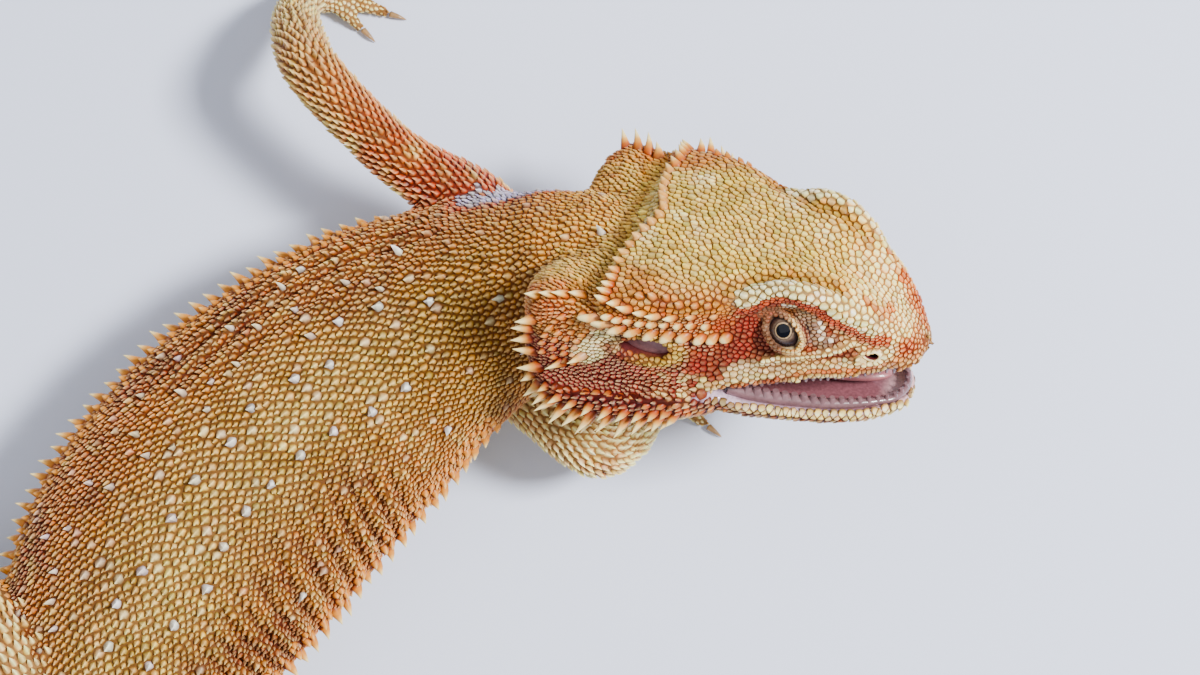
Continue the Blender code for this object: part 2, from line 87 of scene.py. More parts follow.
SKULL = np.array([  # x, crown z, brow y and z, cheek y and z, lip y and z
    (-19.0, -1.0, 9.5, 1.0, 13.0, -1.5, 12.0, -6.0),
    (-17.4, 1.5, 15.6, 5.4, 18.4, 2.2, 17.6, -7.6),
    (-14.0, 4.0, 18.8, 7.8, 21.0, 3.0, 20.2, -8.0),
    (-9.5, 7.0, 19.0, 7.9, 20.4, 1.4, 20.0, -8.0),
    (-4.6, 11.2, 19.7, 9.1, 19.6, 0.8, 19.4, -8.0),
    (0.0, 12.7, 19.1, 10.6, 18.6, 1.0, 18.2, -8.0),
    (5.6, 13.2, 17.1, 11.6, 17.3, 2.8, 17.0, -7.8),
    (11.0, 13.2, 14.6, 11.8, 15.5, 4.8, 15.9, -7.1),
    (15.3, 12.9, 12.7, 12.6, 13.6, 6.0, 14.9, -6.0),
    (20.0, 12.6, 12.4, 14.1, 12.2, 7.0, 13.6, -4.8),
    (25.3, 11.8, 11.2, 13.5, 11.2, 6.4, 11.9, -3.6),
    (30.7, 9.8, 8.4, 10.8, 9.6, 4.0, 10.2, -2.7),
    (34.0, 7.8, 6.8, 8.2, 8.0, 2.4, 8.4, -2.3),
    (37.4, 5.4, 5.0, 5.0, 6.1, 0.9, 6.2, -2.2),
    (40.2, 2.1, 2.7, 1.2, 3.7, -0.6, 3.5, -2.1),
    (41.0, 0.3, 1.2, 0.0, 1.7, -0.8, 1.6, -1.7),
])
PALATE_RISE = 0.5
JAW = np.array([  # x, top edge z, half width, underside z
    (9.0, -7.0, 15.8, -15.4),
    (15.0, -8.2, 15.4, -15.3),
    (20.0, -8.9, 14.0, -15.0),
    (28.0, -9.2, 11.7, -14.6),
    (34.0, -9.4, 8.9, -13.8),
    (38.0, -9.4, 5.6, -12.6),
    (39.6, -9.4, 3.0, -11.6),
])
BEARD = np.array([
    (-18.6, -7.4, 10.6, -11.2),
    (-16.4, -7.3, 18.6, -15.6),
    (-11.0, -7.3, 22.6, -19.2),
    (-4.0, -7.3, 22.4, -20.2),
    (4.0, -7.3, 20.4, -19.2),
    (12.0, -7.3, 16.4, -16.2),
])
EYE_CENTRE = np.array((20.9, 8.6, 6.6))
EAR_CENTRE, EAR_SIZE, EAR_THICKNESS = np.array((1.5, 16.0, 0.2)), (3.7, 1.9), 0.9
TONGUE_CENTRE, TONGUE_SIZE = Vector((25.0, 0.0, -7.0)), Vector((11.0, 4.6, 1.7))
LIMBS = {  # x, y, z and radius, from inside the body to the wrist or ankle
    "arm_left": ((-13.6, 12.0, 21.6, 5.4), (-18.8, 21.6, 23.6, 6.1), (-32.4, 30.8, 25.4, 4.6),
                 (-45.0, 43.4, 25.0, 4.5), (-49.4, 52.0, 16.6, 4.4), (-50.6, 59.0, 8.2, 3.3)),
    "arm_right": ((-23.0, 4.0, 17.4, 5.0), (-16.0, -3.0, 18.0, 5.0), (-8.6, -9.8, 19.0, 4.8),
                  (-0.8, -15.4, 16.8, 4.7), (4.2, -13.2, 11.2, 4.3), (7.2, -9.8, 7.0, 3.4)),
    "leg_left": ((-82.0, -60.0, 18.6, 7.4), (-88.0, -55.6, 21.6, 8.0), (-95.2, -46.6, 23.2, 8.0),
                 (-103.8, -38.2, 19.8, 5.6), (-112.8, -42.0, 12.8, 4.9), (-119.4, -48.0, 7.2, 3.6)),
    "leg_right": ((-80.0, -64.0, 18.2, 7.4), (-73.0, -65.6, 20.4, 8.0), (-61.0, -68.0, 21.4, 7.6),
                  (-50.4, -69.6, 18.8, 5.6), (-46.8, -78.6, 12.4, 4.9), (-43.6, -87.4, 7.2, 3.6)),
}
PAWS = {  # limb, palm, heading, and for each digit its angle from it and its length
    "hand_left": ("arm_left", (-46.8, 62.6, 2.6), 6.0, ((-50, 9.0), (-24, 11.6), (0, 13.4), (24, 13.4), (62, 10.4))),
    "hand_right": ("arm_right", (9.8, -4.6, 2.6), 12.0, ((50, 9.0), (24, 11.6), (0, 13.4), (-23, 13.4), (-50, 10.4))),
    "foot_left": ("leg_left", (-122.4, -43.4, 2.6), 112.0,
                  ((-38, 11.0), (-18, 14.6), (0, 18.0), (19, 22.0), (56, 14.6))),
    "foot_right": ("leg_right", (-38.8, -88.4, 2.6), 24.0,
                   ((38, 11.0), (18, 14.6), (0, 18.0), (-19, 22.0), (-56, 14.6))),
}
PALM_SIZE = (4.4, 4.0, 2.9)
DIGIT_ROOT, DIGIT_RADIUS, DIGIT_TIP = 1.8, 1.55, 1.05
LIP_Y, LIP_Z, JAW_TOP, JAW_HALF = 6, 7, 1, 2  # columns of SKULL and of JAW
print("body stations:", len(BODY), "head sections:", len(SKULL))


# %% Curves through a table's rows
def row(table, at):
    """A table's values between its rows, along a smooth curve through them."""
    last = len(table) - 1
    at = min(max(at, 0.0), float(last))
    i = min(int(at), last - 1)
    t = at - i
    p1, p2 = table[i], table[i + 1]
    p0 = table[i - 1] if i else 2 * p1 - p2
    p3 = table[i + 2] if i + 2 <= last else 2 * p2 - p1
    return 0.5 * (2 * p1 + (p2 - p0) * t + (2 * p0 - 5 * p1 + 4 * p2 - p3) * t**2
                  + (3 * p1 - p0 - 3 * p2 + p3) * t**3)


def row_at_x(table, x):
    return row(table, float(np.interp(x, table[:, 0], range(len(table)))))


def column_at(table, column, x):
    """One column of a table at x, in straight steps between its rows."""
    return np.interp(x, table[:, 0], table[:, column])


def unit(vector):
    return vector / np.maximum(np.linalg.norm(vector, axis=-1, keepdims=True), 1e-9)


def frame_along(table, at, roll=0.0):
    """Axis point, forward, left and up at a station. Forward points to row 0."""
    point = row(table, at)[:3]
    forward = unit(row(table, at - 0.01)[:3] - row(table, at + 0.01)[:3])
    left = unit(np.cross((0, 0, 1), forward))
    up = np.cross(forward, left)
    turn = math.radians(roll)
    return point, forward, left * math.cos(turn) - up * math.sin(turn), up * math.cos(turn) + left * math.sin(turn)


# %% Sections of the body, limbs and head
def body_ring(at, sides=96):
    """A flat oval, sharpest along the flanks and narrower below. It starts at the left flank."""
    half, above, below, roll = row(BODY, at)[3:]
    point, _, left, up = frame_along(BODY, at, roll)
    angle = np.arange(sides) * math.tau / sides
    side = np.sign(np.cos(angle)) * abs(np.cos(angle)) ** 0.92
    rise = np.sign(np.sin(angle)) * abs(np.sin(angle)) ** 1.06
    narrow = 1 - 0.10 * np.maximum(0, -rise)
    height = np.where(rise > 0, above, below)
    return point + np.outer(half * side * narrow, left) + np.outer(height * rise, up)


def limb_ring(table, at, sides=40):
    radius = row(table, at)[3]
    point, _, left, up = frame_along(table, at)
    angle = np.arange(sides) * math.tau / sides
    return point + np.outer(radius * np.cos(angle), left) + np.outer(radius * np.sin(angle), up)


head_turn = (Matrix.Rotation(math.radians(HEAD_YAW), 4, "Z") @ Matrix.Rotation(math.radians(-HEAD_PITCH), 4, "Y")
             @ Matrix.Rotation(math.radians(-HEAD_ROLL), 4, "X"))
head_matrix = Matrix.Translation(HEAD_ORIGIN) @ head_turn
HEAD_AXES = np.array(head_turn.to_3x3())


def from_head(points):
    """Points in the head's own frame (x forward, y left, z up) as points of the model."""
    return np.asarray(points, float) @ HEAD_AXES.T + np.array(HEAD_ORIGIN)


def to_head(points):
    return (np.asarray(points, float) - np.array(HEAD_ORIGIN)) @ HEAD_AXES


def smooth_side(points, count):
    """Points at even steps of a smooth curve's own parameter."""
    return np.array([row(np.array(points), at) for at in np.linspace(0, len(points) - 1, count)])


def skull_side(x, count=26):
    """One side of the upper head, from the crown over brow and cheek to the lip, as y and z."""
    _, crown, brow_y, brow_z, cheek_y, cheek_z, lip_y, lip_z = row_at_x(SKULL, x)
    return smooth_side([(0.0, crown), (brow_y, brow_z), (cheek_y, cheek_z), (lip_y, lip_z)], count)


def skull_ring(x):
    side = skull_side(x)
    lip_y, lip_z = side[-1]
    palate = lip_z + PALATE_RISE * min(1.0, lip_y / 6.0) * (1.0 if x > 11 else 0.0)
    side = np.vstack([side, [(lip_y * 0.93, lip_z), (lip_y * 0.75, palate), (lip_y * 0.4, palate)]])
    left = np.column_stack([np.full(len(side), x), side])
    right = left[1:] * (1, -1, 1)
    return from_head(np.vstack([left, [(x, 0, palate)], right[::-1]]))


def jaw_side(table, x, count=24):
    """The outline of the lower jaw or beard, from its left top edge round the underside to its right one."""
    _, top, half, under = row_at_x(table, x)
    angle = np.linspace(0, math.pi, count)
    side = half * np.sign(np.cos(angle)) * abs(np.cos(angle)) ** 0.75
    return np.column_stack([side, top + (under - top) * np.sin(angle)])


def jaw_ring(table, x):
    side = jaw_side(table, x)
    return from_head(np.column_stack([np.full(len(side), x), side]))


# %% [markdown]
# ## From the model's frame to the part's
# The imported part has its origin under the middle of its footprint. The right eye is a ball whose centre is known
# in both frames, so the step between the frames is read from it, and nothing has to be fitted by eye.

# %% The shift, and how a finished mesh becomes a piece
low, high = (np.array(corner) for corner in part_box("eye_right"))
SHIFT = (low + high) / 2 - from_head(EYE_CENTRE * (1, -1, 1)) / 1000
MM = Matrix.Translation(SHIFT) @ Matrix.Scale(0.001, 4)
print("shift in metres:", np.round(SHIFT, 5))


def piece(name, mesh, material, replaces=()):
    """Links a mesh in metres as an object that rides on the part."""
    mesh.name = name
    mesh.materials.clear()
    mesh.materials.append(material)
    obj = bpy.data.objects.new(name, mesh)
    bpy.context.scene.collection.objects.link(obj)
    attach(obj, "root")
    if replaces:
        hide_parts(*replaces)
    return obj


def mesh_from(bm, smooth=True):
    """Turns a bmesh in the model's millimetres into a mesh in the part's metres."""
    bmesh.ops.recalc_face_normals(bm, faces=bm.faces)
    bmesh.ops.transform(bm, matrix=MM, verts=bm.verts)
    mesh = bpy.data.meshes.new("made")
    bm.to_mesh(mesh)
    bm.free()
    if smooth:
        mesh.shade_smooth()
    return mesh


# %% [markdown]
# ## Lofting a tube of flesh
# A limb or a trunk is a row of sections. The tube starts as a circle, its open edge is extruded once for each
# section, and the new points are moved onto it. At the end the tube is drawn in by the depth of the coat, so
# that the scales which stand on it reach the true outline.

# %% A tube through sections
def add_tube(bm, rings, depth):
    """Adds a closed tube through rings of as many points each, drawn in by a depth."""
    start = bmesh.ops.create_circle(bm, cap_ends=False, segments=len(rings[0]), radius=1.0)["verts"]
    for vert, point in zip(start, rings[0]):
        vert.co = point
    made, loop = list(start), list(start)
    edges = list({edge for vert in start for edge in vert.link_edges})
    first_edges = list(edges)
    for ring in rings[1:]:
        grown = bmesh.ops.extrude_edge_only(bm, edges=edges)["geom"]
        edges = [item for item in grown if isinstance(item, bmesh.types.BMEdge)]
        fresh = set(item for item in grown if isinstance(item, bmesh.types.BMVert))
        edges = [edge for edge in edges if edge.verts[0] in fresh and edge.verts[1] in fresh]
        loop = [next(v for v in (e.other_vert(old) for e in old.link_edges) if v in fresh) for old in loop]
        for vert, point in zip(loop, ring):
            vert.co = point
        made += loop
    caps = bmesh.ops.edgeloop_fill(bm, edges=first_edges)["faces"] + bmesh.ops.edgeloop_fill(bm, edges=edges)["faces"]
    faces = list({face for vert in made for face in vert.link_faces} | set(caps))
    bmesh.ops.recalc_face_normals(bm, faces=faces)
    bm.normal_update()
    for vert, normal in [(vert, vert.normal.copy()) for vert in made]:
        vert.co -= normal * depth


def stations(first, last, step):
    count = max(1, round((last - first) / step))
    return np.linspace(first, last, count + 1)


# %% Digits, wrists and palms
def digit_path(palm, heading, length):
    """Tip, knuckle and root of a digit with their radii: it arches from the palm and then lies on the floor."""
    along = np.array((math.cos(heading), math.sin(heading), 0))
    middle = np.array((palm[0], palm[1], 0))
    return np.array([(*(middle + along * length + (0, 0, DIGIT_TIP - 0.25)), DIGIT_TIP),
                     (*(middle + along * length * 0.52 + (0, 0, 2.3)), DIGIT_RADIUS),
                     (*(np.array(palm) + along), DIGIT_ROOT)]), along


def paw_tubes():
    """Every digit and wrist as a path table, with the name of its paw."""
    for name, (limb, palm, heading, digits) in PAWS.items():
        table = np.array(LIMBS[limb])
        wrist, forward, _, _ = frame_along(table, len(table) - 1.0)
        yield name, None, np.array([(*(wrist + forward * 1.5), 3.3), (*(wrist * 0.5 + np.array(palm) * 0.5), 3.1),
                                    (*palm, 2.4)])
        for spread, length in digits:
            yield name, length, digit_path(palm, math.radians(heading + spread), length)[0]


COAT, FINE_COAT = 0.50, 0.22  # how deep the skin lies under the tips of the scales

# %% [markdown]
# ## One skin
# The tubes overlap at the shoulders, the hips and the neck. A voxel remesh turns them into one closed surface,
# like shrink-wrapping a bundle of clay rolls. It also rounds the creases between them, as real skin does.

# %% Join the tubes and wrap them in one skin
VOXEL = 0.76
bm = bmesh.new()
add_tube(bm, [body_ring(at) for at in stations(0.1, 20.0, 0.12)], COAT)
for table in map(np.array, LIMBS.values()):
    add_tube(bm, [limb_ring(table, at) for at in stations(0, 5, 0.1)], COAT * 0.8)
for _, length, table in paw_tubes():
    add_tube(bm, [limb_ring(table, at, 20) for at in stations(0, 2, 0.12)], FINE_COAT)
for _, palm, heading, _ in PAWS.values():
    place = Matrix.Translation(palm) @ Matrix.Rotation(math.radians(heading), 4, "Z") @ Matrix.Diagonal((*PALM_SIZE, 1))
    bmesh.ops.create_uvsphere(bm, u_segments=24, v_segments=16, radius=0.92, matrix=place)
add_tube(bm, [skull_ring(x) for x in stations(SKULL[0, 0], SKULL[-1, 0], 0.6)], COAT)
add_tube(bm, [jaw_ring(JAW, x) for x in stations(JAW[0, 0], JAW[-1, 0], 0.6)], COAT)
add_tube(bm, [jaw_ring(BEARD, x) for x in stations(BEARD[0, 0], BEARD[-1, 0], 0.6)], COAT)
raw = bpy.data.meshes.new("raw_flesh")
bm.to_mesh(raw)
bm.free()
wrap = bpy.data.objects.new("wrap", raw)
bpy.context.scene.collection.objects.link(wrap)
remesh = wrap.modifiers.new("wrap", "REMESH")
remesh.mode, remesh.voxel_size, remesh.use_smooth_shade = "VOXEL", VOXEL, True
relax = wrap.modifiers.new("relax", "SMOOTH")
relax.factor, relax.iterations = 0.5, 4
skin_mesh = bpy.data.meshes.new_from_object(wrap.evaluated_get(bpy.context.evaluated_depsgraph_get()))
bpy.data.objects.remove(wrap)
print("skin:", len(skin_mesh.polygons), "faces")

# %% [markdown]
# ## Knowing where on the animal a point is
# Folds, scale sizes and colours all depend on where they are: on the nape, a flank, a shank. So a sparse cloud of
# sample points is laid over the sections, and each one knows its region, its station, its place around the
# section and the way that scales lie there. Any point of the skin then takes the answer of the nearest sample.

# %% The sample cloud
def tree_of(points):
    """A tree that finds the nearest of these points."""
    tree = KDTree(len(points))
    for index, point in enumerate(points):
        tree.insert(point, index)
    tree.balance()
    return tree


REGIONS = ["body", "skull", "jaw", "beard", "arm_left", "arm_right", "leg_left", "leg_right",
           "hand_left", "hand_right", "foot_left", "foot_right"]
sample_at, sample_of, sample_lie = [], [], []


def take_samples(region, ring, at, lie):
    """Adds a section's points with their region, station, place around it (0 to 1) and lie."""
    for k, point in enumerate(ring):
        sample_at.append(point)
        sample_of.append((REGIONS.index(region), at, k / len(ring)))
        sample_lie.append(lie)


back_of_head = from_head((-1, 0, 0)) - from_head((0, 0, 0))
for at in stations(1.0, 20.0, 0.12):
    take_samples("body", body_ring(at, 48), at, -frame_along(BODY, at)[1])
for name, table in LIMBS.items():
    for at in stations(0.5, 5.0, 0.2):
        take_samples(name, limb_ring(np.array(table), at, 20), at, -frame_along(np.array(table), at)[1])
for name, length, table in paw_tubes():
    for at in stations(0, 2, 0.25):
        lie = frame_along(table, at)[1] if length else -frame_along(table, at)[1]
        take_samples(name, limb_ring(table, at, 12), 6 + (0 if length is None else 2 - at), lie)
for x in stations(-18.5, 40.8, 1.2):
    side = skull_side(x, 20)
    for flip in (1, -1):
        take_samples("skull", from_head(np.column_stack([np.full(20, x), side * (flip, 1)])), x, back_of_head)
for name, table in (("jaw", JAW), ("beard", BEARD)):
    for x in stations(table[0, 0], table[-1, 0], 1.2):
        take_samples(name, jaw_ring(table, x), x, back_of_head)
sample_at, sample_of, sample_lie = map(np.array, (sample_at, sample_of, sample_lie))
sample_tree = tree_of(sample_at)


def place_of(points):
    """Region, station, place around (0 to 1) and lie of the scales, blended from the nearest samples."""
    region, place, lie = np.empty(len(points), int), np.empty((len(points), 2)), np.empty((len(points), 3))
    for i, point in enumerate(points):
        found = sample_tree.find_n(point, 5)
        index = [f[1] for f in found if sample_of[f[1], 0] == sample_of[found[0][1], 0]]
        weight = np.array([1 / (f[2] + 0.3) ** 2 for f in found if f[1] in index])
        weight /= weight.sum()
        near = sample_of[index]
        turn = near[:, 2] * math.tau if near[0, 0] != 1 else near[:, 2]
        region[i] = near[0, 0]
        place[i, 0] = weight @ near[:, 1]
        if near[0, 0] == 1:
            place[i, 1] = weight @ near[:, 2]
        else:
            place[i, 1] = math.atan2(weight @ np.sin(turn), weight @ np.cos(turn)) / math.tau % 1.0
        lie[i] = weight @ sample_lie[index]
    return region, place[:, 0], place[:, 1], unit(lie)


print("samples:", len(sample_at))

# %% [markdown]
# ## Sculpting with formulas
# The wrapped skin still lacks what a sculptor would push in with a thumb: eye sockets and lids, nostrils, the ear's
# recess and the folds of the flanks. Each is a smooth bump or dent with a centre, a reach and a height, added to the
# points in the head's own frame. First the faces around the eyes, ears and nostrils are divided, so that there
# are enough points to carry the small forms.

# %% Divide the face where it is finest
NOSTRIL, NOSTRIL_SIZE = np.array((33.4, 7.3, 1.3)), (1.15, 0.80)
# lines on the face, as head points: the pale crest over the eye, the red stripe under it, the crease behind the
# crest and the fold under the eye
BROW_BAND = np.array([(14.8, 13.2, 10.8), (16.6, 12.3, 12.6), (19.5, 11.9, 13.9), (22.5, 11.6, 13.8),
                      (26.4, 10.4, 12.5), (29.0, 9.3, 9.9), (33.0, 7.5, 6.7)])
BROW_STRIPE = np.array([(14.5, 13.0, 8.4), (17.6, 12.9, 11.0), (20.9, 12.8, 12.1), (24.3, 11.8, 11.2),
                        (28.0, 9.8, 7.8), (31.7, 8.1, 5.2), (34.7, 6.9, 4.1)])
BROW_CREASE = np.array([(11.8, 13.0, 11.4), (16.0, 10.4, 12.9), (19.5, 8.8, 13.5), (23.4, 8.2, 13.4),
                        (27.0, 7.2, 12.0)])
EYE_FOLD = np.array([(18.6, 13.0, -0.3), (21.7, 11.9, 0.8), (25.0, 11.0, 1.3), (28.5, 9.6, 2.5), (30.8, 8.6, 3.8)])
BALL_CENTRE, BALL_RADIUS = np.array((20.9, 9.75, 4.9)), 3.7
GAZE = unit(np.array((0.03, 0.88, 0.47)))  # sideways and a little up
OPENING, OPENING_TILT = (2.80, 1.90), math.radians(40)  # half sizes of the gap between the lids, and its slant
bm = bmesh.new()
bm.from_mesh(skin_mesh)
for centre, reach in ((BALL_CENTRE + GAZE * 3, 5.4), (NOSTRIL, 2.6), (EAR_CENTRE + (0, 2, 0), 4.9)):
    local = to_head([v.co[:] for v in bm.verts])
    close = np.linalg.norm((local * (1, 1, 1) - centre), axis=1) < reach
    close |= np.linalg.norm((local * (1, -1, 1) - centre), axis=1) < reach
    chosen = {v for v, yes in zip(bm.verts, close) if yes}
    edges = [e for e in bm.edges if e.verts[0] in chosen and e.verts[1] in chosen]
    bmesh.ops.subdivide_edges(bm, edges=edges, cuts=2, use_grid_fill=True)
bm.normal_update()
co = np.array([v.co[:] for v in bm.verts])
normals = np.array([v.normal[:] for v in bm.verts])
print("skin after dividing:", len(bm.faces), "faces")


# %% Bumps and dents
def bell(distance, reach):
    return np.exp(-(distance / reach) ** 2)


def ramp(value, start, end):
    """0 before start, 1 after end, and smooth between them. Start may be the larger."""
    t = np.clip((value - start) / (end - start), 0, 1)
    return t * t * (3 - 2 * t)


def spread(points, centre, size):
    """Distance from a centre, in units of a size for each axis."""
    return np.linalg.norm((points - centre) / size, axis=-1)


def from_line(points, line):
    """Distance in millimetres from head points on either side to a line on the face."""
    points = np.column_stack([points[:, 0], abs(points[:, 1]), points[:, 2]])
    near = np.full(len(points), 99.0)
    for start, end in zip(line[:-1], line[1:]):
        way = end - start
        t = np.clip((points - start) @ way / (way @ way), 0, 1)
        near = np.minimum(near, np.linalg.norm(points - start - t[:, None] * way, axis=1))
    return near


def eye_reach(local):
    """Place on the lids as seen from the eyeball, 1 on the gap's rim and growing outwards, and how far ahead and up."""
    opening = unit(GAZE - np.array((0.0, -0.05, 0.13)))
    front = unit(np.array((1.0, 0, 0)) - opening * opening[0])
    high = np.cross(front, opening)
    ray = unit(local - BALL_CENTRE)
    arc = np.arccos(np.clip(ray @ opening, -1, 1)) * BALL_RADIUS / np.maximum(np.hypot(ray @ front, ray @ high), 1e-6)
    ahead, up = ray @ front * arc, ray @ high * arc
    long = ahead * math.cos(OPENING_TILT) - up * math.sin(OPENING_TILT)
    short = ahead * math.sin(OPENING_TILT) + up * math.cos(OPENING_TILT)
    reach = np.hypot(long / OPENING[0], short / OPENING[1])
    near = np.linalg.norm(local - BALL_CENTRE, axis=-1) < 11
    return np.where(near, reach, 99.0), ahead, up


def nostril_reach(local):
    reach = np.hypot((local[..., 0] - NOSTRIL[0]) / NOSTRIL_SIZE[0], (local[..., 2] - NOSTRIL[2]) / NOSTRIL_SIZE[1])
    return np.where((local[..., 1] > 4.5) & (abs(local[..., 0] - NOSTRIL[0]) < 4), reach, 99.0)


def shape_face(points, normals, on_face):
    """Sculpts both sides of the head. The points are in the model's frame."""
    local = to_head(points)
    side = np.where(local[:, 1] < 0, -1.0, 1.0)
    local[:, 1] *= side
    out = normals @ HEAD_AXES * np.column_stack([np.ones(len(side)), side, np.ones(len(side))])
    lift = (-0.5 * bell(spread(local, (21.4, 12.0, 6.6), (6.4, 4.5, 4.6)), 1.0)  # the orbit
            + 0.45 * bell(from_line(local, BROW_BAND), 1.5)  # the brow
            - 0.75 * bell(from_line(local, BROW_CREASE), 1.3)
            - 0.45 * bell(from_line(local, BROW_STRIPE + (0, 0.3, -1.7)), 0.7)  # where the lids begin
            + 0.55 * bell(from_line(local, EYE_FOLD), 0.5)
            - 0.5 * bell(from_line(local, EYE_FOLD + (0, 0.4, -1.1)), 0.5)
            - 0.45 * bell(from_line(local, EYE_FOLD + (0, -0.3, 1.1)), 0.5)  # the fold under the eye
            - 0.55 * bell(spread(local, (11.5, 15.5, 5.4), (3.6, 3.0, 2.8)), 1.0)  # behind the orbit
            - 0.55 * bell(spread(local, (29.5, 10.0, 4.6), (4.0, 3.0, 2.4)), 1.0)  # in front of it
            + 0.45 * bell(spread(local, (8.0, 17.0, -3.4), (7.0, 3.0, 2.6)), 1.0)  # the jaw's muscle
            - 0.7 * bell(spread(local, (29.5, 7.4, 8.6), (3.0, 2.0, 2.0)), 1.0))  # the canthus between brow and snout
    behind = np.interp(local[:, 1], (0, 3, 8.5, 13.6, 18.8), (-2.4, -3.5, -4.4, -4.5, -4.0)) - local[:, 0]
    # the crown's raised rear edge and the crease behind it
    lift += 0.5 * bell(behind, 1.2) * ramp(local[:, 2], 6.5, 8.5)
    lift -= (1.1 * bell(behind - 2.7, 1.5) * ramp(local[:, 2], 5.6, 7.6)
             * (0.35 + 0.65 * ramp(local[:, 1] * side, 2, -6)))
    half = column_at(JAW, JAW_HALF, local[:, 0])
    top = column_at(JAW, JAW_TOP, local[:, 0])
    lip_y, lip_z = (column_at(SKULL, column, local[:, 0]) for column in (LIP_Y, LIP_Z))
    inside = ramp(local[:, 0], 10.5, 13.5)
    floor = inside * (out[:, 2] > 0.4) * (abs(local[:, 2] - top) < 1.6) * ramp(half - local[:, 1], 2.6, 4.4)
    palate = inside * (out[:, 2] < -0.4) * (abs(local[:, 2] - lip_z) < 1.8) * ramp(lip_y - local[:, 1], 1.6, 3.6)
    local[:, 2] += 2.2 * palate - 0.7 * floor
    hole = nostril_reach(local)
    lift += 0.3 * bell(hole - 1.6, 0.4) - 2.2 * ramp(hole, 1.15, 0.75)
    local += out * lift[:, None]

    reach, ahead, _ = eye_reach(local)
    ray, radius = unit(local - BALL_CENTRE), np.linalg.norm(local - BALL_CENTRE, axis=1)
    lid = (BALL_RADIUS - 0.8 + 1.4 * ramp(reach, 0.88, 1.06) + 0.2 * bell(reach - 1.25, 0.15)
           - 0.6 * bell(reach - 1.6, 0.15) + 0.25 * bell(reach - 1.14, 0.1) * ramp(ahead, 0.4, 1.4))
    weight = ramp(reach, 2.3, 1.6) * ramp(radius - lid, 3.4, 1.0)
    local = np.where((weight > 0)[:, None], BALL_CENTRE + ray * (radius + (lid - radius) * weight)[:, None], local)

    reach = np.hypot((local[:, 0] - EAR_CENTRE[0]) / (EAR_SIZE[0] + 0.25),
                     (local[:, 2] - EAR_CENTRE[2]) / (EAR_SIZE[1] + 0.25))
    near = (local[:, 1] > 13.0) & (reach < 1.8)
    floor = EAR_CENTRE[1] - 0.25 + (reach**2) * 0.3
    local[:, 1] += near * ((floor - local[:, 1]) * ramp(reach, 1.02, 0.86) + 0.35 * bell(reach - 1.18, 0.2))
    local[:, 1] *= side
    return np.where(on_face[:, None], from_head(local), points)


def body_folds(station, around):
    """How far the loose skin of the trunk and neck rises or sinks, in millimetres."""
    angle = around * 360
    right = bell(angle - 148, 30) * ramp(station, 5.0, 6.2) * ramp(station, 9.3, 8.6)
    left = bell(angle - 40, 20) * ramp(station, 3.2, 4.0) * ramp(station, 7.4, 6.2)
    nape = bell(angle - 90, 95) * ramp(station, 1.2, 1.7) * ramp(station, 3.6, 2.8)
    across = np.sin(station * 23.0 - angle * 0.17 + 1.6 * np.sin(station * 3.1) + 0.7 * np.sin(angle * 0.08))
    along = np.sin(angle * 0.62 + 1.9 * np.sin(station * 1.6) + station * 1.1)
    return (0.8 * right * (across - 0.55) + 0.6 * left * (along - 0.4)
            + 0.22 * nape * np.sin(station * 9.5 + angle * 0.02))


skin_place = place_of(co)
region, station, around, lie = skin_place
on_face = np.isin(region, [REGIONS.index(r) for r in ("skull", "jaw")])
on_face |= np.linalg.norm(to_head(co) - (10, 0, 0), axis=1) < 26
folds = np.where(region == 0, body_folds(station, around), 0.0)
co = co + normals * folds[:, None]
co = shape_face(co, normals, on_face)
co[:, 2] = np.maximum(co[:, 2], 0.22)
for vert, point in zip(bm.verts, co):
    vert.co = point
bmesh.ops.triangulate(bm, faces=[f for f in bm.faces if len(f.verts) > 4])
bm.normal_update()
bm.faces.ensure_lookup_table()
skin_tree = BVHTree.FromBMesh(bm)
skin_co = np.array([v.co[:] for v in bm.verts])
skin_normals = np.array([v.normal[:] for v in bm.verts])
skin_points = tree_of(skin_co)
print("skin:", sum(len(f.verts) - 2 for f in bm.faces), "triangles")

# %% [markdown]
# ## Sowing the scales
# Each scale grows from a seed on the skin. On a bearded dragon the scales stand in slanting rows, each one behind
# the gap between two in front, so the seeds start as staggered rows across every section. Then three natural
# things happen, as they do in a growing embryo: a seed too close to another dies, a gap gets a new seed, and
# neighbours push each other apart until they are evenly spaced.

# %% How large the scales are at each place
def places(points, normals, known=None):
    """Everything that size and colour depend on, as one dictionary of arrays."""
    region, station, around, lie = place_of(points) if known is None else known
    local = to_head(points)
    beside = local * np.where(local[:, 1:2] < 0, (1, -1, 1), (1, 1, 1))
    head = np.isin(region, (1, 2, 3)) | (np.linalg.norm(local - (22, 0, 0), axis=1) < 21)
    eye, ahead, over = eye_reach(beside)
    brow = beside[:, 2] - column_at(BROW_STRIPE, 2, beside[:, 0])
    eye = eye + 2.0 * ramp(brow, -2.0, -0.6) * (beside[:, 1] < 14)
    return dict(region=region, s=station, a=around * 360, lie=lie, x=local[:, 0], y=beside[:, 1], z=local[:, 2],
                side=np.sign(local[:, 1]), at=np.asarray(points), head=head, down=-(normals @ HEAD_AXES)[:, 2],
                eye=np.where(head, eye, 99), ahead=ahead, over=over, nostril=np.where(head, nostril_reach(beside), 99))


def is_in(p, *names):
    return np.isin(p["region"], [REGIONS.index(name) for name in names])


def around_ear(p):
    reach = np.hypot((p["x"] - EAR_CENTRE[0]) / EAR_SIZE[0], (p["z"] - EAR_CENTRE[2]) / EAR_SIZE[1])
    return np.where(p["head"] & (p["y"] > 12.0), reach, 99.0)


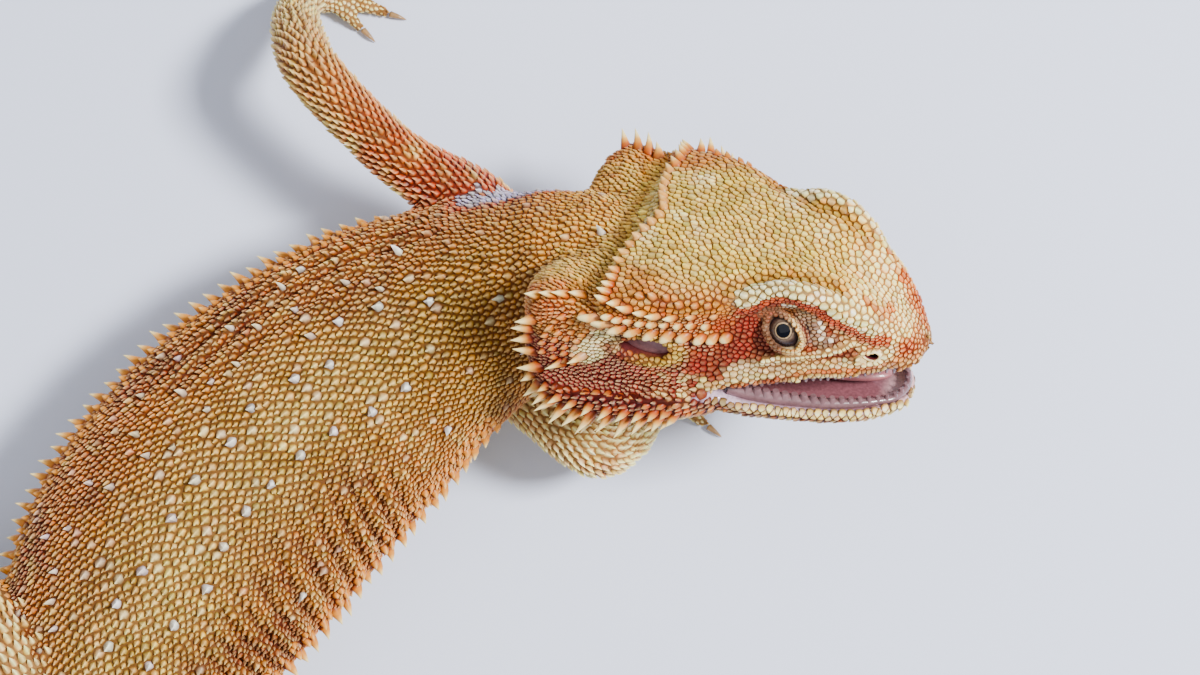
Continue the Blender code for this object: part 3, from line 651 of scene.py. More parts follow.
def pitch_of(p):
    """The distance between scales, in millimetres."""
    s, a = p["s"], p["a"]
    back = 0.82 + 0.38 * bell(a - 92, 34) + 0.42 * bell(a - 270, 60)
    pitch = np.where(s < 4, back * (0.84 + 0.04 * s), back)
    pitch = np.where(s > 9.4, 1.25 + 0.1 * np.minimum(s - 9.4, 3), pitch)
    pitch = np.where(s > 15, np.maximum(1.55 - 0.12 * (s - 15), 0.9), pitch)
    x, y, z = p["x"], p["y"], p["z"]
    crown = (0.84 + 0.34 * ramp(z, 7.0, 10.5) + 0.14 * ramp(x, 18, 24) * ramp(z, 6, 9)
             - 0.10 * ramp(x, 2, -2) * ramp(z, 2, 0))
    crown = np.where((z < -0.6) & (x > 10) & (x < 24), 1.12, crown)  # the larger plates under the eye
    stripe = abs(z - column_at(BROW_STRIPE, 2, x)) < 1.2
    crown = np.where((x > 13) & (x < 35) & (y > 6.5) & (z < 12.6) & stripe, 0.62, crown)
    pitch = np.where(is_in(p, "skull"), crown, pitch)
    pitch = np.where(is_in(p, "jaw"), 1.0, pitch)
    pitch = np.where(is_in(p, "beard"), 1.15, pitch)
    pitch = np.where(is_in(p, "arm_left", "arm_right"), 1.3, pitch)
    pitch = np.where(is_in(p, "leg_left", "leg_right"), 1.45, pitch)
    pitch = np.where(p["region"] >= 8, np.where(s < 6.1, 1.15, 0.88), pitch)
    pitch = np.where(p["eye"] < 3.0, np.minimum(pitch, 0.46 + 0.26 * np.maximum(p["eye"] - 1, 0)), pitch)
    return np.where(around_ear(p) < 1.6, np.minimum(pitch, 0.85), pitch)


def in_mouth(p, margin=0.0):
    """Points on the lining of the mouth, at least a margin behind the edge of the lips."""
    x, y, z = p["x"], p["y"], p["z"]
    half, top = column_at(JAW, JAW_HALF, x), column_at(JAW, JAW_TOP, x)
    lip_y, lip_z = column_at(SKULL, LIP_Y, x), column_at(SKULL, LIP_Z, x)
    upper = (z > (lip_z + top) / 2) & (y < lip_y - 0.5 - margin) & (p["down"] > 0.3) & (z < lip_z + 3)
    lower = (z <= (lip_z + top) / 2) & (y < half - 0.5 - margin) & (p["down"] < -0.3) & (z > top - 3)
    corner = (x > 9.6) & (x < 21) & (y > 8) & (z > top - 0.9 * ramp(x, 21, 15)) & (z < lip_z - 0.15)
    return p["head"] & ((x > 11.0) & (upper | lower) | corner)


def is_bare(p):
    """Places without scales: inside the mouth, the ears, the nostrils and between the lids."""
    return in_mouth(p, 0.35) | (p["nostril"] < 1.35) | (p["eye"] < 1.05) | (around_ear(p) < 1.06)


# %% Rows of seeds across every section
rng = np.random.default_rng(7)


def even_row(ring, pitch, offset, closed=True):
    """Points at even steps along a section's outline, shifted by a part of a step."""
    path = np.vstack([ring, ring[:1]]) if closed else ring
    length = np.concatenate([[0], np.cumsum(np.linalg.norm(np.diff(path, axis=0), axis=1))])
    count = pitch if isinstance(pitch, int) else max(3, round(length[-1] / pitch))
    at = (np.arange(count) + offset) / count * length[-1]
    return np.column_stack([np.interp(at, length, path[:, k]) for k in range(3)])


def walk(path_at, first, last, step):
    """Stations that are even steps apart in millimetres along a path."""
    fine = stations(first, last, 0.02 if last < 30 else 0.5)
    axis = np.array([path_at(at) for at in fine])
    length = np.concatenate([[0], np.cumsum(np.linalg.norm(np.diff(axis, axis=0), axis=1))])
    return np.interp(np.arange(0, length[-1], step), length, fine)


sown = []
bands = (  # first and last station, and how many scales go round
    (1.0, 3.0, 90), (3.0, 4.6, 108), (4.6, 9.3, 124), (9.3, 10.4, 72), (10.4, 11.6, 48), (11.6, 13, 34),
    (13, 14.4, 26), (14.4, 16, 20), (16, 17.6, 16), (17.6, 18.8, 13), (18.8, 19.9, 10))
for first, last, columns in bands:
    step = 0.92 if first < 3 else 1.0 if first < 9 else 1.4
    for k, at in enumerate(walk(lambda t: row(BODY, t)[:3], first, last, step)):
        ring = body_ring(at, 192)
        if columns > 100:  # closer together on the flanks than on the back
            angle = np.arange(193) * math.tau / 192
            density = 1 / (0.82 + 0.38 * bell(np.degrees(angle) - 92, 34) + 0.42 * bell(np.degrees(angle) - 270, 60))
            total = np.concatenate([[0], np.cumsum(density[:-1])])
            wanted = (np.arange(columns) + 0.5 * (k % 2)) / columns * total[-1]
            spot = np.interp(wanted, total, np.arange(193))
            closed_ring = np.vstack([ring, ring[:1]])
            sown.append(np.column_stack([np.interp(spot, np.arange(193), closed_ring[:, c]) for c in range(3)]))
        else:
            sown.append(even_row(ring, columns, 0.5 * (k % 2)))
for name, table in LIMBS.items():
    table, step = np.array(table), 1.15 if "arm" in name else 1.3
    for k, at in enumerate(walk(lambda t, table=table: row(table, t)[:3], 0.5, 5.0, step)):
        count = max(8, round(row(table, at)[3] * math.tau / (1.28 if "arm" in name else 1.42)))
        sown.append(even_row(limb_ring(table, at), int(count), 0.5 * (k % 2)))
for name, length, table in paw_tubes():
    for k, at in enumerate(walk(lambda t, table=table: row(table, t)[:3], 0, 1.9, 0.8)):
        sown.append(even_row(limb_ring(table, at, 24), 0.9, 0.5 * (k % 2)))
for k, x in enumerate(np.arange(-18, 40.6, 0.86)):
    lip = skull_side(x, 40)
    across = np.vstack([lip[::-1] * (-1, 1), lip[1:]])
    across = across[(across[:, 1] > lip[-1, 1] + 0.9) | (x < 11)]
    line = even_row(from_head(np.column_stack([np.full(len(across), x), across])), 0.92, 0.5 * (k % 2), False)
    sown.append(line + rng.normal(0, 0.12, line.shape))
for table in (JAW, BEARD):
    for k, x in enumerate(np.arange(table[0, 0], table[-1, 0], 1.1)):
        sown.append(even_row(jaw_ring(table, x)[1:-1], 1.25, 0.5 * (k % 2), False))
sown = np.vstack(sown)
sown += rng.normal(0, 0.15, sown.shape)
print("seeds sown:", len(sown))

# %% [markdown]
# The scales that a person would notice one by one are placed first and don't move: the plates along the lips, the
# cones over the ear, the rows of spines on the beard and the fringe along each flank, and the pale cones of the
# back, in two rows and scattered over its left side.

# %% Chosen scales: lips, spines and cones
chosen = []  # position, pitch, kind, direction, length, taper


def choose(points, pitch, kind, direction=None, length=0.0, taper=1.0):
    for k, point in enumerate(points):
        way = (0, 0, 0) if direction is None else direction[k] if np.ndim(direction) == 2 else direction
        size = length[k] if np.ndim(length) else length
        chosen.append((np.array(point, float), pitch, kind, np.array(way, float), size, taper))


def both_sides(path, pitch, kind, direction, length, spacing, jitter=0.12, taper=1.0):
    """A row along a path through head points on both sides. Directions and lengths may change along it."""
    path, direction = np.array(path, float), np.atleast_2d(np.array(direction, float))
    length = np.atleast_1d(length)
    count = max(2, round(np.linalg.norm(np.diff(path, axis=0), axis=1).sum() / spacing) + 1)
    for flip in (1, -1):
        at = np.linspace(0, 1, count)
        points = np.array([row(path, t * (len(path) - 1)) for t in at]) + rng.normal(0, jitter * 0.6, (count, 3))
        known = np.linspace(0, 1, len(direction))
        ways = np.array([[np.interp(t, known, direction[:, c]) for c in range(3)] for t in at])
        sizes = np.interp(at, np.linspace(0, 1, len(length)), length) * rng.uniform(1 - jitter, 1 + jitter, count)
        ways = unit(ways + rng.normal(0, 0.08, ways.shape))
        choose(from_head(points * (1, flip, 1)), pitch, kind, unit((ways * (1, flip, 1)) @ HEAD_AXES.T), sizes, taper)


SCALE, CONE, LIP, SPINE = range(4)
lip_x = np.arange(12.4, 40.4, 1.16)
for flip in (1, -1):
    for rank, lift in ((0, 0.34), (1, 1.05)):
        upper = [(x + 0.58 * rank, flip * (column_at(SKULL, LIP_Y, x) + 0.1), column_at(SKULL, LIP_Z, x) + lift)
                 for x in lip_x if rank == 0 or x < 38]
        lower = [(x + 0.58 * rank, flip * (column_at(JAW, JAW_HALF, x) - 0.30 + 0.1 * rank),
                  column_at(JAW, JAW_TOP, x) - lift - 0.9 * ramp(x, 21, 15))
                 for x in lip_x if x < 38.8 - rank]
        choose(from_head(upper), 1.08, LIP)
        choose(from_head(lower), 1.08, LIP)
choose(from_head([(40.9, 0.0, -1.3)]), 1.4, LIP)
# a long pale fold runs forwards under the eye
both_sides(EYE_FOLD, 0.80, LIP, [(0, 0, 0.01)], [0], 0.72, 0.02)
# the shelf of blunt plates over the ear, and the rows of plates above it
both_sides([(-5.2, 20.5, 6.2), (-1.0, 19.4, 4.9), (4.0, 17.6, 4.1), (9.0, 15.5, 3.3), (13.0, 14.0, 3.4)], 2.3, SPINE,
           [(-0.80, 0.55, 0.0), (-0.58, 0.66, -0.30), (-0.45, 0.70, -0.40)], [2.8, 1.9, 1.7, 1.2], 2.15, 0.06, 0.42)
both_sides([(-3.4, 19.8, 7.3), (0.6, 18.8, 6.6), (5.0, 17.1, 6.0), (10.0, 15.2, 5.2)], 1.9, SPINE,
           [(-0.62, 0.70, 0.2)], [1.5, 1.1, 0.9], 1.9, 0.06, 0.5)
both_sides([(-2.6, 19.1, 8.8), (1.0, 18.3, 8.2), (5.0, 16.8, 7.9), (11.0, 14.7, 7.4)], 2.0, SPINE,
           [(-0.30, 0.76, 0.57)], [2.3, 2.7, 2.2, 0.9], 2.5, taper=0.9)
both_sides([(0.6, 17.8, 9.9), (5.0, 16.3, 9.6), (9.5, 14.5, 9.6)], 1.6, SPINE,
           [(-0.4, 0.6, 0.7)], [1.0, 1.1, 0.6], 2.0, taper=0.8)
# the row across the back of the crown
both_sides([(-2.4, 0.9, 11.6), (-3.9, 5.4, 10.8), (-4.7, 10.6, 10.1), (-4.4, 15.6, 9.8), (-4.2, 19.2, 8.8)],
           1.85, SPINE, [(-0.55, 0.15, 0.82), (-0.60, 0.5, 0.62)], [1.2, 1.4, 2.2], 1.75, 0.1, 0.8)
# the lobe behind the ear: an edge of long spines with low cones inside it
both_sides([(-8.6, 17.6, 7.8), (-11.6, 18.8, 7.4), (-14.4, 19.0, 6.2)], 2.2, SPINE,
           [(-0.34, 0.76, 0.55)], [2.8, 3.2, 3.2], 2.4)
both_sides([(-15.1, 19.9, 2.3), (-15.8, 19.2, -0.5), (-15.2, 19.4, -3.5), (-14.0, 19.7, -7.0)], 2.5, SPINE,
           [(-0.74, 0.68, 0.15), (-0.80, 0.60, 0.0)], [3.0, 3.4], 2.6, 0.08)
for lift, reach, gap in (((1.1, -0.1, -0.7), 1.1, 1.8), ((2.6, 0.2, -1.4), 0.9, 1.7), ((4.1, 0.2, -1.9), 0.8, 1.6),
                         ((5.6, 0.2, -2.0), 0.7, 1.5)):
    lobe = np.array([(-10.4, 18.8, 6.8), (-12.6, 20.4, 4.4), (-14.0, 20.4, 1.2), (-14.2, 19.8, -2.4)]) + lift
    both_sides(lobe, 1.45, SPINE, [(-0.42, 0.88, 0.25), (-0.6, 0.8, 0.0)], [reach], gap, taper=0.8)
both_sides([(-7.4, 19.6, -2.7), (-10.2, 19.8, -4.6)], 2.3, SPINE, [(-0.70, 0.70, -0.1)], [2.6, 3.0], 3.0, 0.04)
# the beard: an outer row of long spines, two shorter rows above it and two below
both_sides([(-15.4, 18.8, -9.6), (-11.6, 21.2, -11.6), (-6.0, 21.6, -12.8), (1.0, 20.4, -13.2), (7.4, 18.0, -12.8)],
           2.2, SPINE, [(-0.6, 0.72, -0.35), (-0.32, 0.75, -0.58), (-0.2, 0.76, -0.62)], [3.0, 3.8, 4.0, 3.4, 2.2], 2.3)
both_sides([(-12.4, 21.4, -9.0), (-6.0, 22.0, -10.2), (1.0, 20.6, -10.6), (6.0, 18.6, -10.4)], 1.8, SPINE,
           [(-0.45, 0.82, -0.35), (-0.3, 0.85, -0.42)], [2.0, 2.4, 1.5], 2.3)
both_sides([(-6.0, 21.4, -7.6), (0.0, 20.0, -8.2), (7.0, 17.8, -8.6)], 1.4, SPINE,
           [(-0.6, 0.78, -0.2)], [1.0, 0.8], 1.9, taper=0.8)
both_sides([(-14.4, 18.0, -13.2), (-8.0, 20.0, -15.4), (0.0, 18.8, -15.4), (6.0, 16.6, -14.8)], 1.8, SPINE,
           [(-0.5, 0.6, -0.6), (-0.35, 0.6, -0.72)], [3.0, 3.4, 2.2], 2.3)
both_sides([(-12.0, 15.4, -17.2), (-4.0, 15.2, -18.2), (4.0, 13.6, -17.2)], 1.6, SPINE,
           [(-0.5, 0.4, -0.78)], [2.4, 2.8, 1.8], 2.6)
both_sides([(9.0, 16.0, -11.6), (14.0, 14.6, -11.4)], 1.3, SPINE, [(-0.45, 0.8, -0.35)], [1.0, 0.7], 1.6)
print("chosen on the head:", len(chosen))

# %% The fringes and the cones of the back
def on_body(at, angle):
    """The surface point at a station and an angle round it, and the way out there."""
    ring = body_ring(at, 360)
    point = ring[int(round(angle)) % 360]
    along = row(BODY, at - 0.05)[:3] - row(BODY, at + 0.05)[:3]
    out = unit(np.cross(along, ring[int(round(angle + 2)) % 360] - ring[int(round(angle - 2)) % 360]))
    return point, out if out @ (point - row(BODY, at)[:3]) > 0 else -out


for edge, first in ((0, 4.25), (180, 4.0)):
    rows = ((0, 3.0 if edge == 0 else 2.4, 2.65, 2.7, 0.95), (11, 1.3, 2.1, 1.9, 0.8),
            (-12, 1.6, 2.4, 1.9, 0.9), (20, 0.8, 1.8, 1.4, 0.8))
    for shift, length, spacing, pitch, taper in rows:
        for at in walk(lambda t: body_ring(t, 360)[edge], first, 9.5, spacing):
            angle = edge + (shift if edge == 0 else -shift)
            point, out = on_body(at, angle)
            _, forward, _, up = frame_along(BODY, at)
            fade = ramp(at, first - 0.2, first + 0.7) * ramp(at, 10.2, 9.0) * 0.55 + 0.45
            choose([point], pitch, SPINE, unit(out - forward * 0.26 + up * 0.12 + rng.normal(0, 0.08, 3)),
                   length * fade * rng.uniform(0.8, 1.15), taper)
LEFT_CONES = [  # station and angle round the body
    (4.55, 76), (5.05, 72), (5.4, 84), (5.75, 80), (6.25, 78), (6.6, 82), (7.05, 82), (7.45, 84), (8.0, 86),
    (8.4, 84), (8.8, 88), (9.3, 86)]
RIGHT_CONES = [
    (4.8, 108), (5.35, 106), (5.8, 102), (6.2, 100), (6.6, 100), (6.95, 100), (7.35, 102), (7.8, 106),
    (8.3, 104), (8.8, 104), (9.3, 102)]
for at, angle in LEFT_CONES + RIGHT_CONES:
    point, out = on_body(at, angle)
    choose([point], 1.9 * rng.uniform(0.9, 1.08), CONE, out)
for at, angle in [(1.0, 94), (2.25, 158), (2.6, 108), (3.85, 86), (4.0, 54), (5.1, 36), (4.6, 140), (7.3, 140)]:
    point, out = on_body(at, angle)
    choose([point], 1.6, CONE, out)
taken = []
while len(taken) < 26:  # smaller pale cones scattered over the left side of the back
    spot = np.array((rng.uniform(4.4, 9.3), rng.uniform(34, 70)))
    if all(abs(spot[0] - t[0]) * 13 + abs(spot[1] - t[1]) * 0.4 > 4.2 for t in taken):
        taken.append(spot)
        point, out = on_body(*spot)
        choose([point], 1.25, CONE, out)
print("chosen in all:", len(chosen))

# %% From seeds to even spacing
def onto_skin(points):
    """The nearest place on the skin and its normal."""
    found = [skin_tree.find_nearest(p) for p in points]
    at = np.array([f[0][:] for f in found])
    normal = unit(np.array([skin_normals[[n[1] for n in skin_points.find_n(p, 3)]].mean(axis=0) for p in at]))
    return at, normal, np.array([f[3] for f in found])


def thin_out(points, pitch, keep_first=0, factor=0.62):
    """Leaves out each point that is too close to an earlier one."""
    tree = tree_of(points)
    kept = np.ones(len(points), bool)
    for i, point in enumerate(points):
        if not kept[i]:
            continue
        for _, j, distance in tree.find_range(point, factor * pitch[i] * 1.6):
            if j > i and j >= keep_first and distance < factor * (pitch[i] + pitch[j]) / 2:
                kept[j] = False
    return kept


fixed = len(chosen)
fixed_at, fixed_normal, _ = onto_skin(np.array([c[0] for c in chosen]))
at, normal, gap = onto_skin(sown)
points = np.vstack([fixed_at, at[gap < 1.35]])
place = places(points, np.vstack([fixed_normal, normal[gap < 1.35]]))
pitch = pitch_of(place)
wild = np.where(place["region"] == 0, np.where(place["s"] < 9.6, 0.23, 0.06),
                np.where(place["region"] == 1, 0.15, 0.07))  # how uneven the sizes are
pitch *= np.exp(wild * np.clip(rng.normal(0, 1, len(pitch)), -1.6, 2.2))
pitch[(place["region"] == 0) & (place["s"] < 9.4) & (rng.random(len(pitch)) < 0.06)] *= 1.3
pitch[:fixed] = [c[1] for c in chosen]
keep = thin_out(points, pitch, fixed) & (~is_bare(place) | (np.arange(len(points)) < fixed))
points, pitch = points[keep], pitch[keep]
for _ in range(2):  # fill the gaps
    tree = tree_of(points)
    far = np.array([tree.find(p)[2] for p in skin_co]) > 0.42
    open_at = skin_co[far]
    place = places(open_at, skin_normals[far], [value[far] for value in skin_place])
    need = pitch_of(place)
    lonely = np.array([tree.find(p)[2] for p in open_at]) > np.where(is_in(place, "skull"), 0.70, 0.80) * need
    lonely &= ~is_bare(place)
    fresh, fresh_pitch = open_at[lonely], need[lonely]
    order = rng.permutation(len(fresh))
    fresh, fresh_pitch = fresh[order], fresh_pitch[order]
    good = thin_out(fresh, fresh_pitch, 0, 0.85)
    points, pitch = np.vstack([points, fresh[good]]), np.concatenate([pitch, fresh_pitch[good]])
    print("new seeds in the gaps:", good.sum())
for step in range(6):
    tree = tree_of(points)
    found = [tree.find_n(p, 8)[1:] for p in points]
    index = np.array([[f[1] for f in near] for near in found])
    away = points[:, None] - points[index]
    distance = np.linalg.norm(away, axis=2)
    want = (pitch[:, None] + pitch[index]) / 2
    push = (away / np.maximum(distance, 0.05)[..., None] * np.maximum(want * 1.04 - distance, 0)[..., None]).sum(axis=1)
    push *= 0.24 * (np.arange(len(points)) >= fixed)[:, None]
    points[fixed:] = np.array([skin_tree.find_nearest(p)[0][:] for p in (points + push)[fixed:]])
points, normals, _ = onto_skin(points)
place = places(points, normals)
keep = (~is_bare(place) | (np.arange(len(points)) < fixed)) & (thin_out(points, pitch, fixed, 0.55))
points, pitch, normals = points[keep], pitch[keep], normals[keep]
place = {key: value[keep] for key, value in place.items()}
large = pitch / pitch_of(place)  # against its neighbours
kind = np.full(len(points), SCALE)
kind[:fixed] = [c[2] for c in chosen]
print("seeds:", len(points))

# %% [markdown]
# ## The markings
# A painter of museum casts lays one ground colour, then washes others over it through soft masks: a pale olive
# back, rusty flanks, a red cheek. The masks below are smooth functions of the place on the animal, with some
# noise, and the skin and every scale take their colour from the same function.

# %% Noise and palette
def noise(points, size, seed=0):
    """Smooth noise from -1 to 1 with lumps about as large as size."""
    grid = np.asarray(points) / size + seed * 17.31
    cell = np.floor(grid).astype(np.int64)
    t = grid - cell
    t = t * t * (3 - 2 * t)
    total = 0.0
    for corner in range(8):
        step = np.array([corner & 1, corner >> 1 & 1, corner >> 2 & 1])
        x, y, z = (cell + step).T
        hashed = (x * 73856093 ^ y * 19349663 ^ z * 83492791 ^ seed * 2654435761) & 0xFFFFFF
        hashed = (hashed * 1103515245 + 12345) & 0x7FFFFFFF
        hashed = (hashed >> 7) ^ hashed
        weight = np.prod(np.where(step, t, 1 - t), axis=1)
        total = total + weight * ((hashed & 0xFFFF) / 32767.5 - 1)
    return total


def linear(red, green, blue):
    """A colour as a screen shows it, from 0 to 255, as light."""
    value = np.array((red, green, blue)) / 255
    return np.where(value <= 0.04045, value / 12.92, ((value + 0.055) / 1.055) ** 2.4)


COLOURS = {name: linear(*rgb) for name, rgb in {
    "ochre": (166, 112, 44), "olive": (146, 116, 38), "pale": (224, 196, 122), "rust": (116, 44, 10),
    "red": (146, 30, 6), "deep red": (104, 12, 2), "orange": (190, 84, 18), "cream": (250, 229, 168),
    "white": (248, 242, 232), "lavender": (204, 176, 194), "grey cream": (214, 194, 150), "brown": (80, 38, 12),
    "sand": (206, 170, 106), "blue grey": (150, 152, 186), "mauve": (116, 74, 80), "pink": (124, 70, 78),
    "wine": (96, 32, 38), "dark": (28, 11, 7), "beige": (160, 112, 80), "greenish": (240, 234, 184),
    "straw": (206, 176, 90), "taupe": (136, 114, 96), "amber": (204, 124, 30), "gold": (230, 158, 58),
    "flesh": (224, 176, 176),
}.items()}


def wash(colour, name, mask, strength=1.0):
    """Lays a named colour over another through a mask."""
    mask = np.clip(mask * strength, 0, 1)[:, None]
    return colour * (1 - mask) + COLOURS[name] * mask


def lay(colour, washes):
    """Lays washes one after another. Each is a colour's name, its mask and its strength."""
    for name, mask, strength in washes:
        colour = wash(colour, name, mask, strength)
    return colour


# %% Where each colour lies
def trunk_colours(p):
    """The washes of the trunk, neck and tail, from the ground colour up."""
    s, a, at = p["s"], p["a"], p["at"]
    flat = np.minimum(a, 360 - a)
    left, right = bell(a - 34, 32) + bell(a - 352, 12), bell(a - 158, 34)
    back = bell(a - 93, 25)
    big, small, fine = noise(at, 9, 1), noise(at, 3.2, 2), noise(at, 1.5, 11)
    yield "ochre", np.ones(len(s)), 1.0
    yield "orange", left + 0.6 * right, 0.35
    yield "olive", back * ramp(s, 1.6, 3.0), 0.8
    yield "pale", back * ramp(s, 3.4, 5.4) * (0.7 + 0.6 * small), 0.9
    yield "rust", left * ramp(big + 0.7 * small, -0.8, 0.5), 0.8
    yield "rust", ramp(big + 0.8 * small, 0.1, 0.9) * (1 - 0.7 * back), 0.7
    yield "pale", ramp(fine + 0.4 * small, 0.35, 0.8) * (1 - back), 0.45
    yield "olive", bell(a - 140, 30) * ramp(s, 5.4, 3.6), 0.55
    yield "brown", bell(s - 3.6, 0.8) * ramp(small + 0.5 * fine, -0.2, 0.8), 0.3
    # the fold troughs are rust and the crests pale: partly the skin's colour, partly painted shade and painted light
    fold = body_folds(s, a / 360)
    yield "rust", ramp(-fold, 0.1, 0.8) * (s > 3.4), 0.6
    yield "pale", ramp(fold, 0.05, 0.4) * (s > 3.4), 0.45
    yield "orange", bell(flat, 9) + bell(a - 180, 9), 0.55
    yield "cream", ramp(a, 192, 215) * ramp(a, 348, 325), 0.8
    tail = ramp(s, 9.6, 12.0)
    yield "sand", tail, 0.6
    yield "rust", tail * ramp(np.sin(s * 4.2) + 0.6 * big, 0.2, 1.0), 0.4
    yield "straw", ramp(s, 1.9, 1.2) * ramp(fine + 0.6 * small, -0.9, 0.3), 0.7
    yield "orange", ramp(s, 1.5, 0.9) * ramp(small, 0.0, 0.6), 0.4
    yield "gold", ramp(s, 2.4, 1.6) * ramp(a, 116, 98) * ramp(a, 20, 40) * ramp(small, -0.9, 0.4), 0.4
    yield "ochre", ramp(s, 3.4, 2.6) * ramp(a, 98, 124) * ramp(a, 210, 185), 0.8
    yield "brown", ramp(s, 3.0, 2.0) * ramp(a, 104, 130) * ramp(a, 210, 185) * ramp(fine, 0.5, -0.5), 0.4
    yield "ochre", bell(s - 2.4, 1.0) * ramp(fine, 1.0, -0.4), 0.6
    yield "brown", bell(s - 2.6, 0.8) * ramp(fine + small, 0.0, -1.0), 0.25
    patch = np.hypot((s - 2.55) * 9.5, (np.where(a > 300, a - 360, a) - 22) * 0.34)
    yield "red", ramp(patch, 9.0, 7.0), 0.75
    yield "blue grey", ramp(patch, 6.6, 5.6) * ramp(fine, -1.2, -0.6), 0.95
    yield "red", bell(np.hypot((s - 3.6) * 9.5, (flat - 8) * 0.3), 3.4), 0.8


def limb_colours(p):
    s, at = p["s"], p["at"]
    big, small, fine = noise(at, 6, 3), noise(at, 2.4, 4), noise(at, 1.4, 12)
    left_arm, right_arm = is_in(p, "arm_left"), is_in(p, "arm_right")
    leg = is_in(p, "leg_left", "leg_right")
    yield "sand", np.ones(len(s)), 1.0
    yield "orange", left_arm * ramp(s, 4.2, 2.0) * ramp(small, -0.8, 0.2), 0.75
    yield "red", left_arm * ramp(s, 3.2, 1.4) * ramp(big + 0.7 * small, -0.5, 0.4), 0.8
    yield "cream", leg * ramp(small, 0.8, -0.4), 0.5
    yield "beige", leg * ramp(small, -0.2, 0.8), 0.45
    yield "rust", leg * ramp(big + 0.5 * small, 0.4, 1.1) * ramp(s, 2.2, 3.4), 0.4
    yield "red", right_arm * ramp(big + 0.7 * small, 0.0, 0.7), 0.55
    yield "cream", (right_arm * 0.9 + ramp(s, 3.0, 6.0)) * ramp(small + fine, -1.2, 0.6), 0.8
    yield "beige", ramp(s, 3.4, 5.0) * ramp(fine, 0.0, 0.8), 0.45


